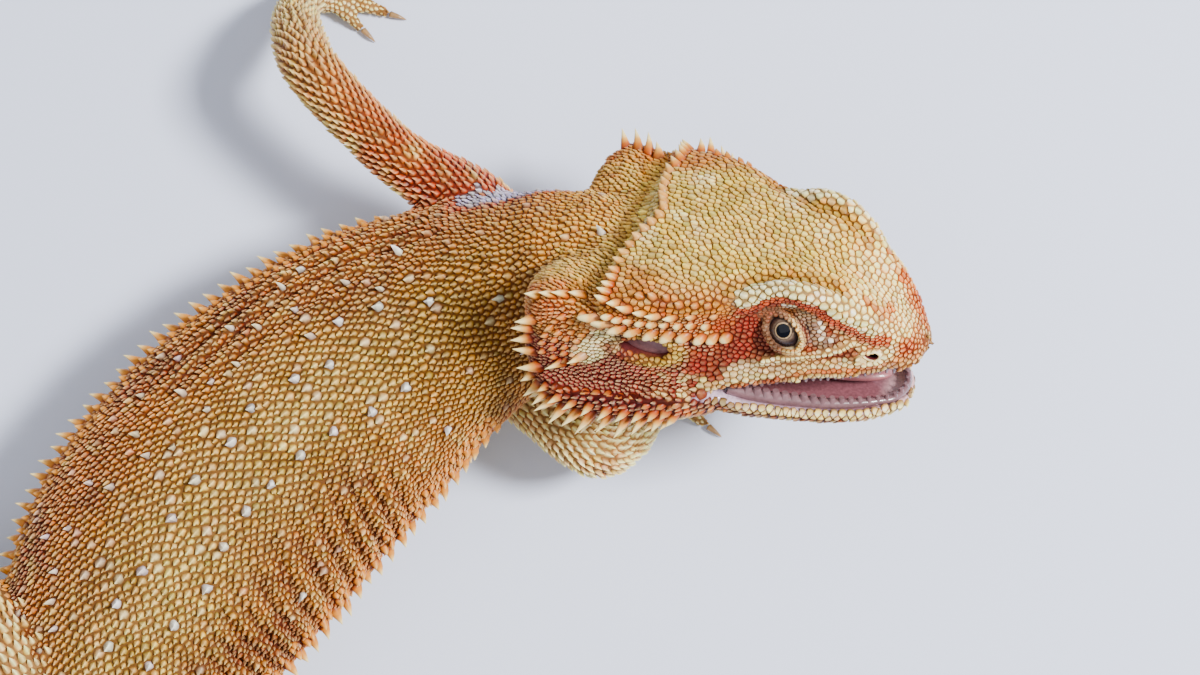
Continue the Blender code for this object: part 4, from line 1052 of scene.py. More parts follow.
def face_colours(p):
    x, y, z, at = p["x"], p["y"], p["z"], p["at"]
    points = np.column_stack([x, y, z])
    big, small, fine = noise(at, 6, 5), noise(at, 2.8, 6), noise(at, 1.4, 7)
    eye, ear, ahead, over = p["eye"], around_ear(p), p["ahead"], p["over"]
    lip_z = column_at(SKULL, LIP_Z, x)
    crown = ramp(z, 6.2, 8.6)
    yield "rust", np.ones(len(x)), 1.0
    yield "red", ramp(small, -0.6, 0.5), 0.65
    yield "orange", ramp(fine, 0.1, 0.8), 0.4
    yield "deep red", ramp(x, 6.0, -3.0) * ramp(z, 0.0, -3.0), 0.85
    yield "straw", crown, 1.0
    yield "pale", crown * ramp(small + 0.6 * big, -0.6, 0.5), 0.7
    yield "ochre", crown * ramp(big + 0.3 * fine, 0.3, 1.0), 0.5
    yield "cream", crown * ramp(noise(at, 4.5, 8), 0.1, 0.8), 0.75
    yield "olive", crown * ramp(noise(at, 3.4, 9) + 0.4 * fine, 0.3, 1.0) * ramp(x, 30, 22), 0.5
    yield "greenish", crown * ramp(noise(at, 3.0, 10), 0.5, 1.0) * ramp(x, 20, 12), 0.6
    # the temple above the shelf is orange with pale plates
    temple = ramp(y, 11.0, 14.6) * ramp(z, 2.6, 3.6) * ramp(x, 16, 12) * ramp(x, -9, -6)
    yield "orange", temple * ramp(z, 12.6, 10.6), 0.75
    yield "ochre", temple * ramp(z, 12.6, 10.6) * ramp(big, -0.9, 0.3), 0.6
    yield "red", temple * ramp(small + 0.4 * fine, -0.3, 0.6) * ramp(z, 12, 9), 0.6
    yield "pale", temple * ramp(fine, 0.1, 0.7) * ramp(z, 12, 10), 0.5
    # the lobe behind the ear: orange above, deep red below, pale close to the ear
    rear = ramp(x, -5.5, -7.5)
    yield "ochre", rear * ramp(z, -1.0, 1.5), 0.9
    yield "orange", rear * ramp(x, -8.0, -10.5) * ramp(z, -1.5, 1.0) * ramp(fine, -0.6, 0.6), 0.6
    yield "red", rear * ramp(x, -8.0, -11.0) * ramp(small, 0.0, 0.6), 0.4
    yield "straw", rear * ramp(y, 16.5, 14.0) * ramp(z, 2.0, 4.0) * ramp(fine, -0.9, 0.2), 0.7
    hollow = from_line(points, np.array([(-4.4, 20.1, 4.2), (-3.6, 19.1, 1.1), (-7.2, 19.5, -1.9)]))
    yield "greenish", ramp(hollow, 2.6, 1.6) * ramp(fine, -1.2, 0.2), 0.75
    # the snout: cream plates on top, orange ones with pale middles in front
    snout = ramp(x, 26.5, 31.0) * ramp(z, lip_z + 1.8, lip_z + 3.4)
    yield "cream", snout, 0.85
    yield "pale", snout * ramp(small, -0.2, 0.6), 0.6
    front = ramp(x, 32, 39)
    yield "orange", snout * ramp(small + 0.6 * fine + 0.9 * front, -0.1, 0.7), 0.85
    yield "red", snout * ramp(small + 0.5 * front, 0.4, 1.0), 0.6
    # brow: painted shade in the crease, a pale crest and a red stripe
    yield "ochre", ramp(from_line(points, BROW_CREASE), 2.4, 1.0) * ramp(fine, -1.2, 0.2), 0.8
    yield "olive", ramp(from_line(points, BROW_CREASE), 1.4, 0.5), 0.5
    inside = ramp(eye, 2.9, 2.5) * ramp(x, 12.5, 14.5)  # inside the orbit
    yield "rust", inside, 0.9
    yield "red", inside * ramp(ahead, 0.5, -1.5) * ramp(fine, -0.6, 0.3), 0.6
    yield "orange", ramp(ahead, 0.4, 1.4) * ramp(eye, 2.25, 2.05) * ramp(over, -0.9, -2.2), 0.6
    yield "taupe", ramp(ahead, 0.8, 1.6) * ramp(eye, 2.5, 2.3) * ramp(over, -3.0, -2.0), 0.92
    crest = ramp(from_line(points, BROW_BAND), 2.0, 1.2)
    yield "greenish", crest, 0.97
    yield "red", ramp(from_line(points, BROW_STRIPE), 1.6, 1.0) * ramp(crest, 0.9, 0.3), 0.95
    yield ("orange", ramp(from_line(points, BROW_STRIPE), 1.4, 0.8) * ramp(crest, 0.9, 0.3)
           * ramp(fine + front, -0.1, 0.6), 0.6)
    for spot in ([(25.5, 10.4, 7.5), (26.0, 10.2, 6.0)], [(26.4, 10.2, 4.8), (27.7, 9.6, 4.3)],
                 [(20.6, 12.2, 10.2), (22.0, 12.0, 10.3)]):
        yield "white", ramp(from_line(points, np.array(spot)), 0.75, 0.4), 0.9
    # deep red along the dent round the lids: partly the skin's colour, partly painted shade in that crease
    yield "deep red", bell(eye - 1.60, 0.22) * ramp(over - ahead, 1.0, -0.5), 0.9
    lid = ramp(eye, 1.42, 1.28)
    yield "beige", lid, 0.85
    yield "taupe", lid, 0.45
    yield "brown", lid * ramp(ahead, 0.8, -0.4), 0.3
    yield "red", ramp(eye, 1.5, 1.3) * ramp(ahead, 0.0, -1.6) * ramp(fine, -0.2, 0.5), 0.35
    rim = bell(eye - 1.17, 0.12) * ramp(ahead, 0.2, 1.0)
    yield "cream", rim, 1.0
    yield "gold", rim, 0.35
    # painted shade where the lid edges meet the eyeball
    yield "brown", ramp(eye, 1.08, 1.0), 0.7
    # under the eye: large grey plates, a thin pale band, and the fold with a red line below it
    band = np.interp(x, (13.0, 15.5, 19.0, 22.0, 30.0, 33.0), (-2.2, -0.7, -0.2, 0.2, 1.1, 0.9))
    under = ramp(z, band + 0.3, band - 0.3) * ramp(z, lip_z + 0.9, lip_z + 1.7) * ramp(x, 12.4, 14.0)
    yield "grey cream", under * ramp(x, 24.0, 21.5), 0.95
    yield "cream", under * ramp(x, 21.5, 24.0) * ramp(x, 33, 31), 0.8
    low = ramp(x, 13.6, 12.0) * ramp(x, 2.0, 6.0) * ramp(z, -3.2, -4.4)
    yield "cream", low * ramp(fine + 0.5 * small, -0.3, 0.5), 0.7
    yield "red", bell(from_line(points, EYE_FOLD + (0, 0.3, -1.3)), 0.55), 0.8
    yield "cream", ramp(from_line(points, EYE_FOLD), 0.75, 0.45), 0.95
    # the lips: pale, with an orange stripe that climbs away from the edge
    lips = ramp(z, lip_z + 2.4, lip_z + 1.2) * ramp(x, 10, 14)
    yield "cream", lips, 0.9
    stripe = z - lip_z - np.interp(x, (14, 20, 24, 28, 33), (0.5, 0.8, 1.9, 2.0, 1.5))
    yield "orange", bell(stripe, 0.6) * ramp(x, 12, 14) * ramp(x, 36, 33), 0.9
    yield "red", bell(stripe, 0.5) * ramp(x, 12, 14) * ramp(x, 36, 33) * ramp(fine, -0.2, 0.6), 0.7
    yield "orange", lips * ramp(small + 0.4 * front, 0.3, 0.7), 0.6
    yield "straw", bell(ear - 1.35, 0.3) * ramp(x, -2.0, 3.0), 0.85
    yield "cream", ramp(p["nostril"], 1.9, 1.5), 0.7


def jaw_colours(p):
    x, y, z, at = p["x"], p["y"], p["z"], p["at"]
    small, fine = noise(at, 2.4, 9), noise(at, 1.3, 10)
    top = column_at(JAW, JAW_TOP, x)
    yield "rust", np.ones(len(x)), 1.0
    yield "deep red", ramp(x, 10, 0) * ramp(z, -14.5, -11.0), 0.75
    yield "orange", ramp(small + 0.5 * fine, 0.0, 0.7), 0.7
    yield "cream", ramp(fine, 0.1, 0.6) * ramp(x, 4, 12), 0.6
    yield "grey cream", ramp(z, -12.6, -14.6) + ramp(y, 9.0, 6.0) * (z < -10), 0.85
    yield "cream", ramp(z, top - 1.7, top - 0.8) * ramp(x, 11, 15), 0.95


def markings(p):
    """The colour of the skin and of each scale at these places, as light."""
    colour = np.zeros((len(p["s"]), 3))
    for mask, washes in ((p["region"] == 0, trunk_colours), (is_in(p, "skull"), face_colours),
                         (is_in(p, "jaw", "beard"), jaw_colours), (p["region"] >= 4, limb_colours)):
        if mask.any():
            colour[mask] = lay(colour[mask], washes({key: value[mask] for key, value in p.items()}))
    return colour


def inner_colours(p):
    """The mouth's wet colours, and the painted shade in nostrils, ear rims and lid edges, which go over the skin's."""
    x, y, z = p["x"], p["y"], p["z"]
    half, lip_z = column_at(JAW, JAW_HALF, x), column_at(SKULL, LIP_Z, x)
    mouth = in_mouth(p).astype(float)
    deep = half - y
    low = mouth * (z < lip_z - 1.5)
    yield "mauve", mouth, 1.0
    yield "wine", mouth - low, 0.4
    yield "pink", low * ramp(deep, 3.2, 4.6), 0.7
    yield "lavender", low * ramp(deep, 2.1, 1.4), 0.9
    yield "flesh", low * ramp(x, 34.0, 37.0), 0.85
    yield "lavender", mouth * ramp(x, 17.0, 13.5), 0.85
    yield "cream", ramp(p["nostril"], 1.7, 1.5), 0.5
    # painted shade in the nostril's hole and at the rim of the ear's recess
    yield "wine", ramp(p["nostril"], 1.1, 0.9), 1.0
    yield "wine", ramp(around_ear(p), 1.08, 0.98), 0.8
    lid = ramp(p["eye"], 1.6, 1.3)
    yield "beige", lid, 0.6
    yield "cream", bell(p["eye"] - 1.15, 0.09) * ramp(p["ahead"], 0.2, 1.0), 0.95
    # painted shade where the lid edges meet the eyeball
    yield "dark", ramp(p["eye"], 1.05, 0.98), 0.9


# %% [markdown]
# ## Materials
# Two effects are shared. One breaks a flat colour into fine mottles, the other gives the fine grain that catches
# the light on keratin. Each is a node group with named inputs, and each material sets its own values.

# %% Shared node groups
def wiring(tree):
    """A function that joins an output of one node of the tree to an input of another."""
    return lambda source, output, target, entry: tree.links.new(source.outputs[output], target.inputs[entry])


def set_inputs(node, values):
    for name, value in values.items():
        node.inputs[name].default_value = value


def group(name, inputs, outputs):
    tree = bpy.data.node_groups.new(name, "ShaderNodeTree")
    for socket, kind, value in inputs:
        made = tree.interface.new_socket(socket, in_out="INPUT", socket_type=kind)
        if value is not None:
            made.default_value = value
    for socket, kind in outputs:
        tree.interface.new_socket(socket, in_out="OUTPUT", socket_type=kind)
    return tree, tree.nodes.new("NodeGroupInput"), tree.nodes.new("NodeGroupOutput")


def mottle_group():
    """Mixes a darker and a lighter version of a colour through noise."""
    tree, given, result = group("Mottle", [("Color", "NodeSocketColor", None), ("Scale", "NodeSocketFloat", 900.0),
                                           ("Amount", "NodeSocketFloat", 0.3)], [("Color", "NodeSocketColor")])
    new, link = tree.nodes.new, wiring(tree)
    place, grain = new("ShaderNodeTexCoord"), new("ShaderNodeTexNoise")
    grain.inputs["Detail"].default_value = 4.0
    spread_map, shade = new("ShaderNodeMapRange"), new("ShaderNodeHueSaturation")
    low, high = new("ShaderNodeMath"), new("ShaderNodeMath")
    low.operation, high.operation = "SUBTRACT", "ADD"
    low.inputs[0].default_value = high.inputs[0].default_value = 1.0
    link(place, "Object", grain, "Vector")
    link(given, "Scale", grain, "Scale")
    link(given, "Amount", low, 1)
    link(given, "Amount", high, 1)
    set_inputs(spread_map, {"From Min": 0.3, "From Max": 0.7})
    link(grain, "Fac", spread_map, "Value")
    link(low, 0, spread_map, "To Min")
    link(high, 0, spread_map, "To Max")
    link(spread_map, "Result", shade, "Value")
    link(given, "Color", shade, "Color")
    link(shade, "Color", result, "Color")
    return tree


def grain_group():
    """Fine relief and uneven gloss: noise over small cells, like worn keratin."""
    number = "NodeSocketFloat"
    tree, given, result = group("Keratin grain", [("Scale", number, 2500.0), ("Dull", number, 0.6),
                                                  ("Glossy", number, 0.4)],
                                [("Height", number), ("Roughness", number)])
    new, link = tree.nodes.new, wiring(tree)
    place, grain, cells = new("ShaderNodeTexCoord"), new("ShaderNodeTexNoise"), new("ShaderNodeTexVoronoi")
    added, gloss = new("ShaderNodeMath"), new("ShaderNodeMapRange")
    grain.inputs["Detail"].default_value = 3.0
    for texture in (grain, cells):
        link(place, "Object", texture, "Vector")
        link(given, "Scale", texture, "Scale")
    added.operation = "MULTIPLY_ADD"
    added.inputs[1].default_value = 0.5
    link(cells, "Distance", added, 0)
    link(grain, "Fac", added, 2)
    link(added, 0, result, "Height")
    link(grain, "Fac", gloss, "Value")
    link(given, "Glossy", gloss, "To Min")
    link(given, "Dull", gloss, "To Max")
    link(gloss, "Result", result, "Roughness")
    return tree


MOTTLE, GRAIN = mottle_group(), grain_group()


def add_group(tree, group_tree, **values):
    node = tree.nodes.new("ShaderNodeGroup")
    node.node_tree = group_tree
    set_inputs(node, values)
    return node


def painted(name, rgb=None, wet=False, mottle=0.18, mottle_scale=1400.0, grain_scale=3000.0, dull=0.62, glossy=0.42,
            bump=0.15, coat=0.0, coat_roughness=0.12, specular=0.5):
    """A material in one colour or, where none is given, in the colours of the piece's own tint attribute."""
    made = bpy.data.materials.new(name)
    made.use_nodes = True
    tree = made.node_tree
    shader = tree.nodes["Principled BSDF"]
    link = wiring(tree)
    mottled = add_group(tree, MOTTLE, Scale=mottle_scale, Amount=mottle)
    if rgb is None:
        tint = tree.nodes.new("ShaderNodeAttribute")
        tint.attribute_name = "tint"
        link(tint, "Color", mottled, "Color")
    else:
        mottled.inputs["Color"].default_value = (*linear(*rgb), 1)
    grain = add_group(tree, GRAIN, Scale=grain_scale, Dull=dull, Glossy=glossy)
    relief = tree.nodes.new("ShaderNodeBump")
    set_inputs(relief, {"Strength": bump, "Distance": 0.0001})
    link(mottled, "Color", shader, "Base Color")
    link(grain, "Roughness", shader, "Roughness")
    link(grain, "Height", relief, "Height")
    link(relief, "Normal", shader, "Normal")
    set_inputs(shader, {"Coat Weight": coat, "Coat Roughness": coat_roughness, "Specular IOR Level": specular})
    if wet:  # the mouth's lining shines
        shine = tree.nodes.new("ShaderNodeAttribute")
        shine.attribute_name = "wet"
        link(shine, "Fac", shader, "Coat Weight")
    return made


SCALES = painted("scaled_skin", dull=0.52, glossy=0.34, specular=0.22)
PALE_SCALES = painted("pale_skin", mottle=0.14, dull=0.6, glossy=0.4, specular=0.2)
SPINES = painted("spine_horn", mottle=0.10, dull=0.5, glossy=0.3, bump=0.1, specular=0.3)
SKIN = painted("bare_skin", wet=True, mottle=0.25, mottle_scale=2200.0, dull=0.8, glossy=0.6, bump=0.3, specular=0.15)
print("materials:", [m.name for m in bpy.data.materials if m.users or m.use_nodes][:8])


def set_tint(mesh, colours):
    """Stores one colour per point, as light, in the mesh's tint attribute."""
    layer = mesh.color_attributes.new("tint", "FLOAT_COLOR", "POINT")
    rgba = np.column_stack([np.clip(colours, 0, 1), np.ones(len(colours))])
    layer.data.foreach_set("color", rgba.astype(np.float32).ravel())


# %% [markdown]
# ## The skin's paint
# The skin shows only between the scales, where it is darker, partly its own colour and partly painted shade,
# inside the mouth, and on the edges of the lids. It is one mesh, and stands for all the nodes of flesh.

# %% Paint the skin
skin_places = places(skin_co, skin_normals, skin_place)
ground = markings(skin_places)
# painted shade: the ground colour is darkened where the skin lies deep between the scales
ground = ground * (0.32, 0.20, 0.12)
paint, wet = lay(ground, inner_colours(skin_places)), in_mouth(skin_places)
flesh = ["head", "lower_jaw", "beard", "neck", "chest", "belly", "hips"]
flesh += ["tail_base", "tail_middle", "tail_end", "tail_tip"]
flesh += [f"{part}_{half}" for part in ("upper_arm", "forearm", "hand", "thigh", "shank", "foot")
          for half in ("left", "right")]
skin = mesh_from(bm)
set_tint(skin, paint)
skin.attributes.new("wet", "FLOAT", "POINT").data.foreach_set("value", wet.astype(np.float32))
piece("skin", skin, SKIN, flesh)
print("skin painted:", len(skin.vertices), "points")

# %% [markdown]
# ## The scales
# A scale fills its own cell: it reaches half way to each neighbour, or further where it is the larger of the two.
# From that outline it rises to a shoulder, and along the middle runs a keel that ends in a small point over the
# next scale. All scales are made at once with arrays, as one shape with the same few faces.

# %% Cells, and the shape of one scale
def reaches(points, normals, back, pitch, count):
    """How far each scale reaches in each direction round it, in millimetres."""
    tree = tree_of(points)
    near = np.array([[f[1] for f in tree.find_n(p, 13)][1:] for p in points])
    away = points[near] - points[:, None]
    side = np.cross(normals, back)
    flat = np.stack([(away * back[:, None]).sum(-1), (away * side[:, None]).sum(-1)], -1)
    share = pitch[:, None] / (pitch[:, None] + pitch[near])
    squared = (flat**2).sum(-1)
    angle = np.arange(count) * math.tau / count
    reach = np.empty((len(points), count))
    for k, turn in enumerate(angle):
        along = flat @ (math.cos(turn), math.sin(turn))
        border = np.where(along > 0.05, share * squared / np.maximum(along, 0.05), 9.0)
        reach[:, k] = border.min(axis=1)
    return np.minimum(reach, pitch[:, None] * 0.90), side, angle


back = unit(place["lie"] - normals * (place["lie"] * normals).sum(-1, keepdims=True))
ROUND = 12
cell, side, angle = reaches(points, normals, back, pitch, ROUND)


def scale_faces(count):
    """Faces of one scale: an outline, a shoulder and a keel of three points (back, middle and front)."""
    back_tip, middle, front = 2 * count, 2 * count + 1, 2 * count + 2
    facing, edge = np.cos(np.arange(count) * math.tau / count), 0.5 if count == 8 else 0.72
    owner = [back_tip if f > edge else front if f < -edge else middle for f in facing]
    faces = []
    for k in range(count):
        n = (k + 1) % count
        faces.append((k, n, count + n, count + k))
        top = (owner[n], owner[k]) if owner[n] != owner[k] else (owner[k],)
        faces.append((count + k, count + n, *top))
    faces.append(tuple(range(count))[::-1])
    return faces


print("cells:", np.round(np.percentile(cell.mean(axis=1), (5, 50, 95)), 2))

# %% Height, keel and point of the scales in each region
n = len(points)
eye, ear = place["eye"], around_ear(place)
height, keel, tip, inner = np.full(n, 0.17), np.full(n, 0.36), np.full(n, 0.16), np.full(n, 0.73)
flank = np.maximum(bell(place["a"] - 12, 30), bell(place["a"] - 172, 30)) * (place["region"] == 0)
keel += 0.16 * flank
tip += 0.12 * flank
belly = (place["region"] == 0) & (place["a"] > 200) & (place["a"] < 340)
tail = (place["region"] == 0) & (place["s"] > 9.6)
nape = (place["region"] == 0) & (place["s"] < 2.4)
limb = is_in(place, "arm_left", "arm_right", "leg_left", "leg_right")
paw = place["region"] >= 8
skull = is_in(place, "skull")
crown = skull & (place["z"] > 7.5)
rear = skull & (place["x"] < -5)
cheek = skull & (place["z"] < 2.5) & (place["x"] < 8)
under = skull & (place["z"] < 0.5) & (place["x"] > 8)
lower = is_in(place, "jaw", "beard")
small = (eye < 2.6) | (ear < 1.5)
cones, lips = kind == CONE, kind == LIP
for mask, *values in (  # height, keel, tip and inner share, where None leaves a value as it is
        (belly, 0.16, 0.08, 0.10, None), (tail, None, 0.34, 0.34, None), (nape, None, 0.20, 0.12, None),
        (limb, None, 0.42, 0.36, None), (paw, 0.14, 0.12, 0.10, None), (skull, 0.16, 0.15, 0.08, 0.80),
        (crown, 0.16, 0.14, 0.02, 0.83), (rear, None, 0.42, 0.30, None), (cheek, None, 0.24, 0.20, None),
        (under, 0.15, 0.06, 0.02, 0.86), (lower, None, 0.24, 0.18, None), (small, 0.12, 0.07, 0.0, None),
        (cones, 0.12, 1.35, 0.0, 0.72), (lips, 0.20, 0.05, 0.0, 0.80)):
    for array, value in zip((height, keel, tip, inner), values):
        if value is not None:
            array[mask] = value
vary = rng.uniform(0.8, 1.2, n)
size = np.clip(cell.mean(axis=1) / 0.62, 0.55, 1.35)
height, keel, tip = height * vary * size, keel * vary * size, tip * size
colour = markings(place)
colour = wash(colour, "white", (place["region"] == 0) * (place["s"] < 9.4) * ramp(large, 1.45, 1.8) * 0.25)
paler = np.where(pitch > 1.5, 0.95, 0.5)[:, None] * (kind == CONE)[:, None]
colour = colour * (1 - paler) + COLOURS["white"] * rng.uniform(0.86, 1.0, (n, 1)) * paler
temper = np.clip(rng.normal(0, 1, (n, 3)), -2, 2)
colour = colour * np.exp(0.17 * temper[:, :1]) * np.exp(temper * (0.03, 0.05, 0.10))
grey = colour.mean(axis=1, keepdims=True)
colour = np.maximum(grey + (colour - grey) * 1.13, 0.002)  # horn is clearer in colour than the skin under it
# share of cream at each scale's keel tip, partly pale keels and partly painted highlight
pale_and_highlight_tip_share = np.where(crown | under | lips | small, 0.15, 0.42)
# where the grooves between plates are orange
snout_like = skull * ramp(place["x"], 18, 27) * ramp(place["z"], 1.0, 4.0)
print("scales:", (kind != SPINE).sum(), "spines:", (kind == SPINE).sum())

# %% [markdown]
# Where the coat's colour is baked, each scale needs its own small patch at its root's place on an unrolled
# skin. The trunk unrolls along its stations and round its sections, and every other region has its own tile.

# %% The unrolled skin
def unroll(p):
    """A place between 0 and 1 for each root on an unwrap of the skin."""
    u, v = p["s"] / 20.5 * 0.60 + 0.01, p["a"] / 360 * 0.96 + 0.02
    tiles = [(0.64 + 0.12 * (k % 3), 0.02 + 0.24 * (k // 3)) for k in range(11)]
    for k, (left, low) in enumerate(tiles):
        mine = p["region"] == k + 1
        along = (p["x"] + 20) / 62 if k < 3 else (p["s"] if k < 7 else p["s"] - 6) / (5.5 if k < 7 else 2.2)
        turn = 0.5 + p["side"] * p["a"] / 720 if k == 0 else p["a"] / 360
        u = np.where(mine, left + 0.10 * np.clip(along, 0, 1), u)
        v = np.where(mine, low + 0.21 * np.clip(turn, 0, 1), v)
    return u, v


root_u, root_v = unroll(place)


def build_mesh(corners, faces, tints, offsets, roots_u, roots_v):
    """Joins many copies of one shape: corners (copies, points, 3), the shape's faces, colours and flat offsets."""
    copies, per = corners.shape[:2]
    mesh = bpy.data.meshes.new("made")
    at = corners.reshape(-1, 3) * 0.001 + SHIFT
    at[:, 2] = np.maximum(at[:, 2], 0.0)  # nothing reaches below the floor
    mesh.vertices.add(copies * per)
    mesh.vertices.foreach_set("co", at.astype(np.float32).ravel())
    shape = np.concatenate([np.array(face) for face in faces])
    starts = np.concatenate([[0], np.cumsum([len(face) for face in faces])[:-1]])
    index = (shape[None] + np.arange(copies)[:, None] * per).ravel()
    mesh.loops.add(len(index))
    mesh.loops.foreach_set("vertex_index", index.astype(np.int32))
    mesh.polygons.add(copies * len(faces))
    first_loops = starts[None] + np.arange(copies)[:, None] * len(shape)
    mesh.polygons.foreach_set("loop_start", first_loops.ravel().astype(np.int32))
    mesh.update(calc_edges=True)
    set_tint(mesh, tints.reshape(-1, 3))
    uv = np.stack([roots_u[:, None] + offsets[..., 0] * 0.0015, roots_v[:, None] + offsets[..., 1] * 0.0015], -1)
    uv = uv.reshape(-1, 2)[index]
    mesh.uv_layers.new(name="OFBake").data.foreach_set("uv", uv.astype(np.float32).ravel())
    return mesh


def grow_scales(chosen_ones, count):
    """The joined mesh of these scales."""
    i = np.flatnonzero(chosen_ones)
    step = ROUND // count if ROUND % count == 0 else None
    turn = np.arange(count) * math.tau / count
    if step:
        r = cell[i][:, ::step]
    else:
        r = np.array([np.interp(turn, np.append(angle, math.tau), np.append(c, c[0])) for c in cell[i]])
    root, up, b, l = points[i], normals[i], back[i], side[i]
    h, k, t, shrink = height[i], keel[i], tip[i], inner[i][:, None]
    ways = b[:, None] * np.cos(turn)[None, :, None] + l[:, None] * np.sin(turn)[None, :, None]
    base = root[:, None] + ways * (r * 0.99)[..., None] - up[:, None] * 0.22
    rise = h[:, None] * (0.80 + 0.35 * np.cos(turn)[None])
    shoulder = root[:, None] + ways * (r * shrink)[..., None] + up[:, None] * rise[..., None]
    rear, front = r[:, 0], r[:, count // 2]
    tail_tip = root + b * (rear * 0.72 + t)[:, None] + up * (h + k)[:, None]
    middle = root + b * (rear * 0.08)[:, None] + up * (h + 0.75 * k + 0.04)[:, None]
    head_tip = root - b * (front * 0.52)[:, None] + up * (h + 0.22 * k + 0.03)[:, None]
    corners = np.concatenate([base, shoulder, tail_tip[:, None], middle[:, None], head_tip[:, None]], 1)
    c = colour[i][:, None]
    # painted highlight: the keel's back point is lighter than the scale's colour, partly a pale keel
    light = c * (1.3 - pale_and_highlight_tip_share[i][:, None, None]) + COLOURS["cream"] * 0.95 * pale_and_highlight_tip_share[i][:, None, None]
    warm = snout_like[i][:, None, None]
    white = (kind[i] == CONE)[:, None, None]
    plate = (inner[i] > 0.79)[:, None, None] * (1 - white) * (1 - warm)
    # painted shade: the outline sunk in the skin and the sloping sides are darker than the top; grey sides on the white
    # cones
    groove = c * (np.array((0.26, 0.13, 0.06)) * (1 - warm) + np.array((0.60, 0.24, 0.07)) * warm)
    edge = c * (np.array((0.55, 0.43, 0.31)) * (1 - warm) + np.array((0.90, 0.70, 0.42)) * warm)
    groove = groove * (1 - white) + c * (0.20, 0.13, 0.09) * white
    edge = edge * (1 - white) + c * (0.55, 0.50, 0.50) * white
    edge = edge * (1 - plate) + c * (0.67, 0.55, 0.37) * plate
    groove = groove * (1 - 0.4 * plate)
    # painted highlight: the keel's middle and front point are lighter than the scale, partly pale keel colour
    pale_and_lit_keel_middle = c * 0.85 + COLOURS["cream"] * 0.2 * pale_and_highlight_tip_share[i][:, None, None] / 0.42
    tints = np.concatenate([np.repeat(groove, count, 1), np.repeat(edge, count, 1),
                            light * 1.25, pale_and_lit_keel_middle * 1.3, c * 1.15], 1)
    flat = np.concatenate([np.stack([np.cos(turn), np.sin(turn)], -1)] * 2 + [[(0.7, 0), (0.1, 0), (-0.5, 0)]])
    flat[count:2 * count] *= 0.8
    mesh = build_mesh(corners, scale_faces(count), tints, np.repeat(flat[None], len(i), 0), root_u[i], root_v[i])
    mesh.shade_smooth()
    mesh.set_sharp_from_angle(angle=math.radians(48))
    return mesh


# %% Grow the coat, region by region
plain = kind != SPINE
trunk = place["region"] == 0
s, a = place["s"], place["a"]
left_half = (a < 90) | (a > 270)
NECK_END, CHEST_END, BELLY_END, MOST_TRIANGLES = 3.6, 6.2, 9.2, 200000
chest = trunk & (s >= NECK_END) & (s < CHEST_END)
middle_body = trunk & (s >= CHEST_END) & (s < BELLY_END)
coat = {
    "scales_face_left": (skull & (place["side"] > 0), 12, SCALES),
    "scales_face_right": (skull & (place["side"] <= 0), 12, SCALES),
    "scales_jaw_and_beard": (lower, 12, SCALES),
    "scales_neck": (trunk & (s < NECK_END), 12, SCALES),
    "scales_chest_left": (chest & left_half, 12, SCALES),
    "scales_chest_right": (chest & ~left_half, 12, SCALES),
    "scales_belly_left": (middle_body & left_half, 12, SCALES),
    "scales_belly_right": (middle_body & ~left_half, 12, SCALES),
    "scales_tail": (trunk & (s >= BELLY_END), 8, SCALES),
    "scales_arms": (is_in(place, "arm_left", "arm_right"), 12, SCALES),
    "scales_legs": (is_in(place, "leg_left", "leg_right"), 8, SCALES),
    "scales_paws": (paw, 8, PALE_SCALES),
}
total = 0
for name, (mask, count, material) in coat.items():
    made = grow_scales(mask & plain, count)
    piece(name, made, material)
    triangles = sum(len(face) - 2 for face in scale_faces(count)) * int((mask & plain).sum())
    total += triangles
    print(f"{name}: {int((mask & plain).sum())} scales, {triangles} triangles")
    assert triangles < MOST_TRIANGLES, name
print("coat:", total, "triangles")

# %% [markdown]
# ## The spines
# A spine is a scale that has grown into a thorn. It keeps the outline of its cell at the root and tapers along a
# slightly bent path to a sharp tip. It is dark at the root, then orange and gold, and creamy at the point, and the
# thorns along the flanks are amber.

# %% Grow the spines
way, spine_length, taper = (np.array([c[k] for c in chosen]) for k in (3, 4, 5))
i = np.flatnonzero(kind == SPINE)
turn = np.arange(ROUND) * math.tau / ROUND
levels = np.array((-0.22, 0.06, 0.22, 0.42, 0.62, 0.80, 0.93))
root, up, b, l = points[i], normals[i], back[i], side[i]
lean, far, blunt = way[i], spine_length[i], taper[i]
on_cell = b[:, None] * np.cos(turn)[None, :, None] + l[:, None] * np.sin(turn)[None, :, None]
round_way = unit(on_cell - lean[:, None] * (on_cell * lean[:, None]).sum(-1, keepdims=True))
mean_cell = np.clip(cell[i].mean(axis=1), 0.3, 1.25)
warm = colour[i]
dark = warm * (0.55, 0.30, 0.18)
middle = warm * 0.45 + COLOURS["orange"] * 0.55
fringe = (place["region"][i] == 0)[:, None]  # along the flanks the thorns are amber, and golden further up
dark, middle = np.where(fringe, COLOURS["rust"] * 1.3, dark), np.where(fringe, COLOURS["amber"], middle)
bright = np.maximum(ramp(far, 1.15, 2.2), ramp(blunt, 0.6, 0.5))[:, None]
rings, tints = [], []
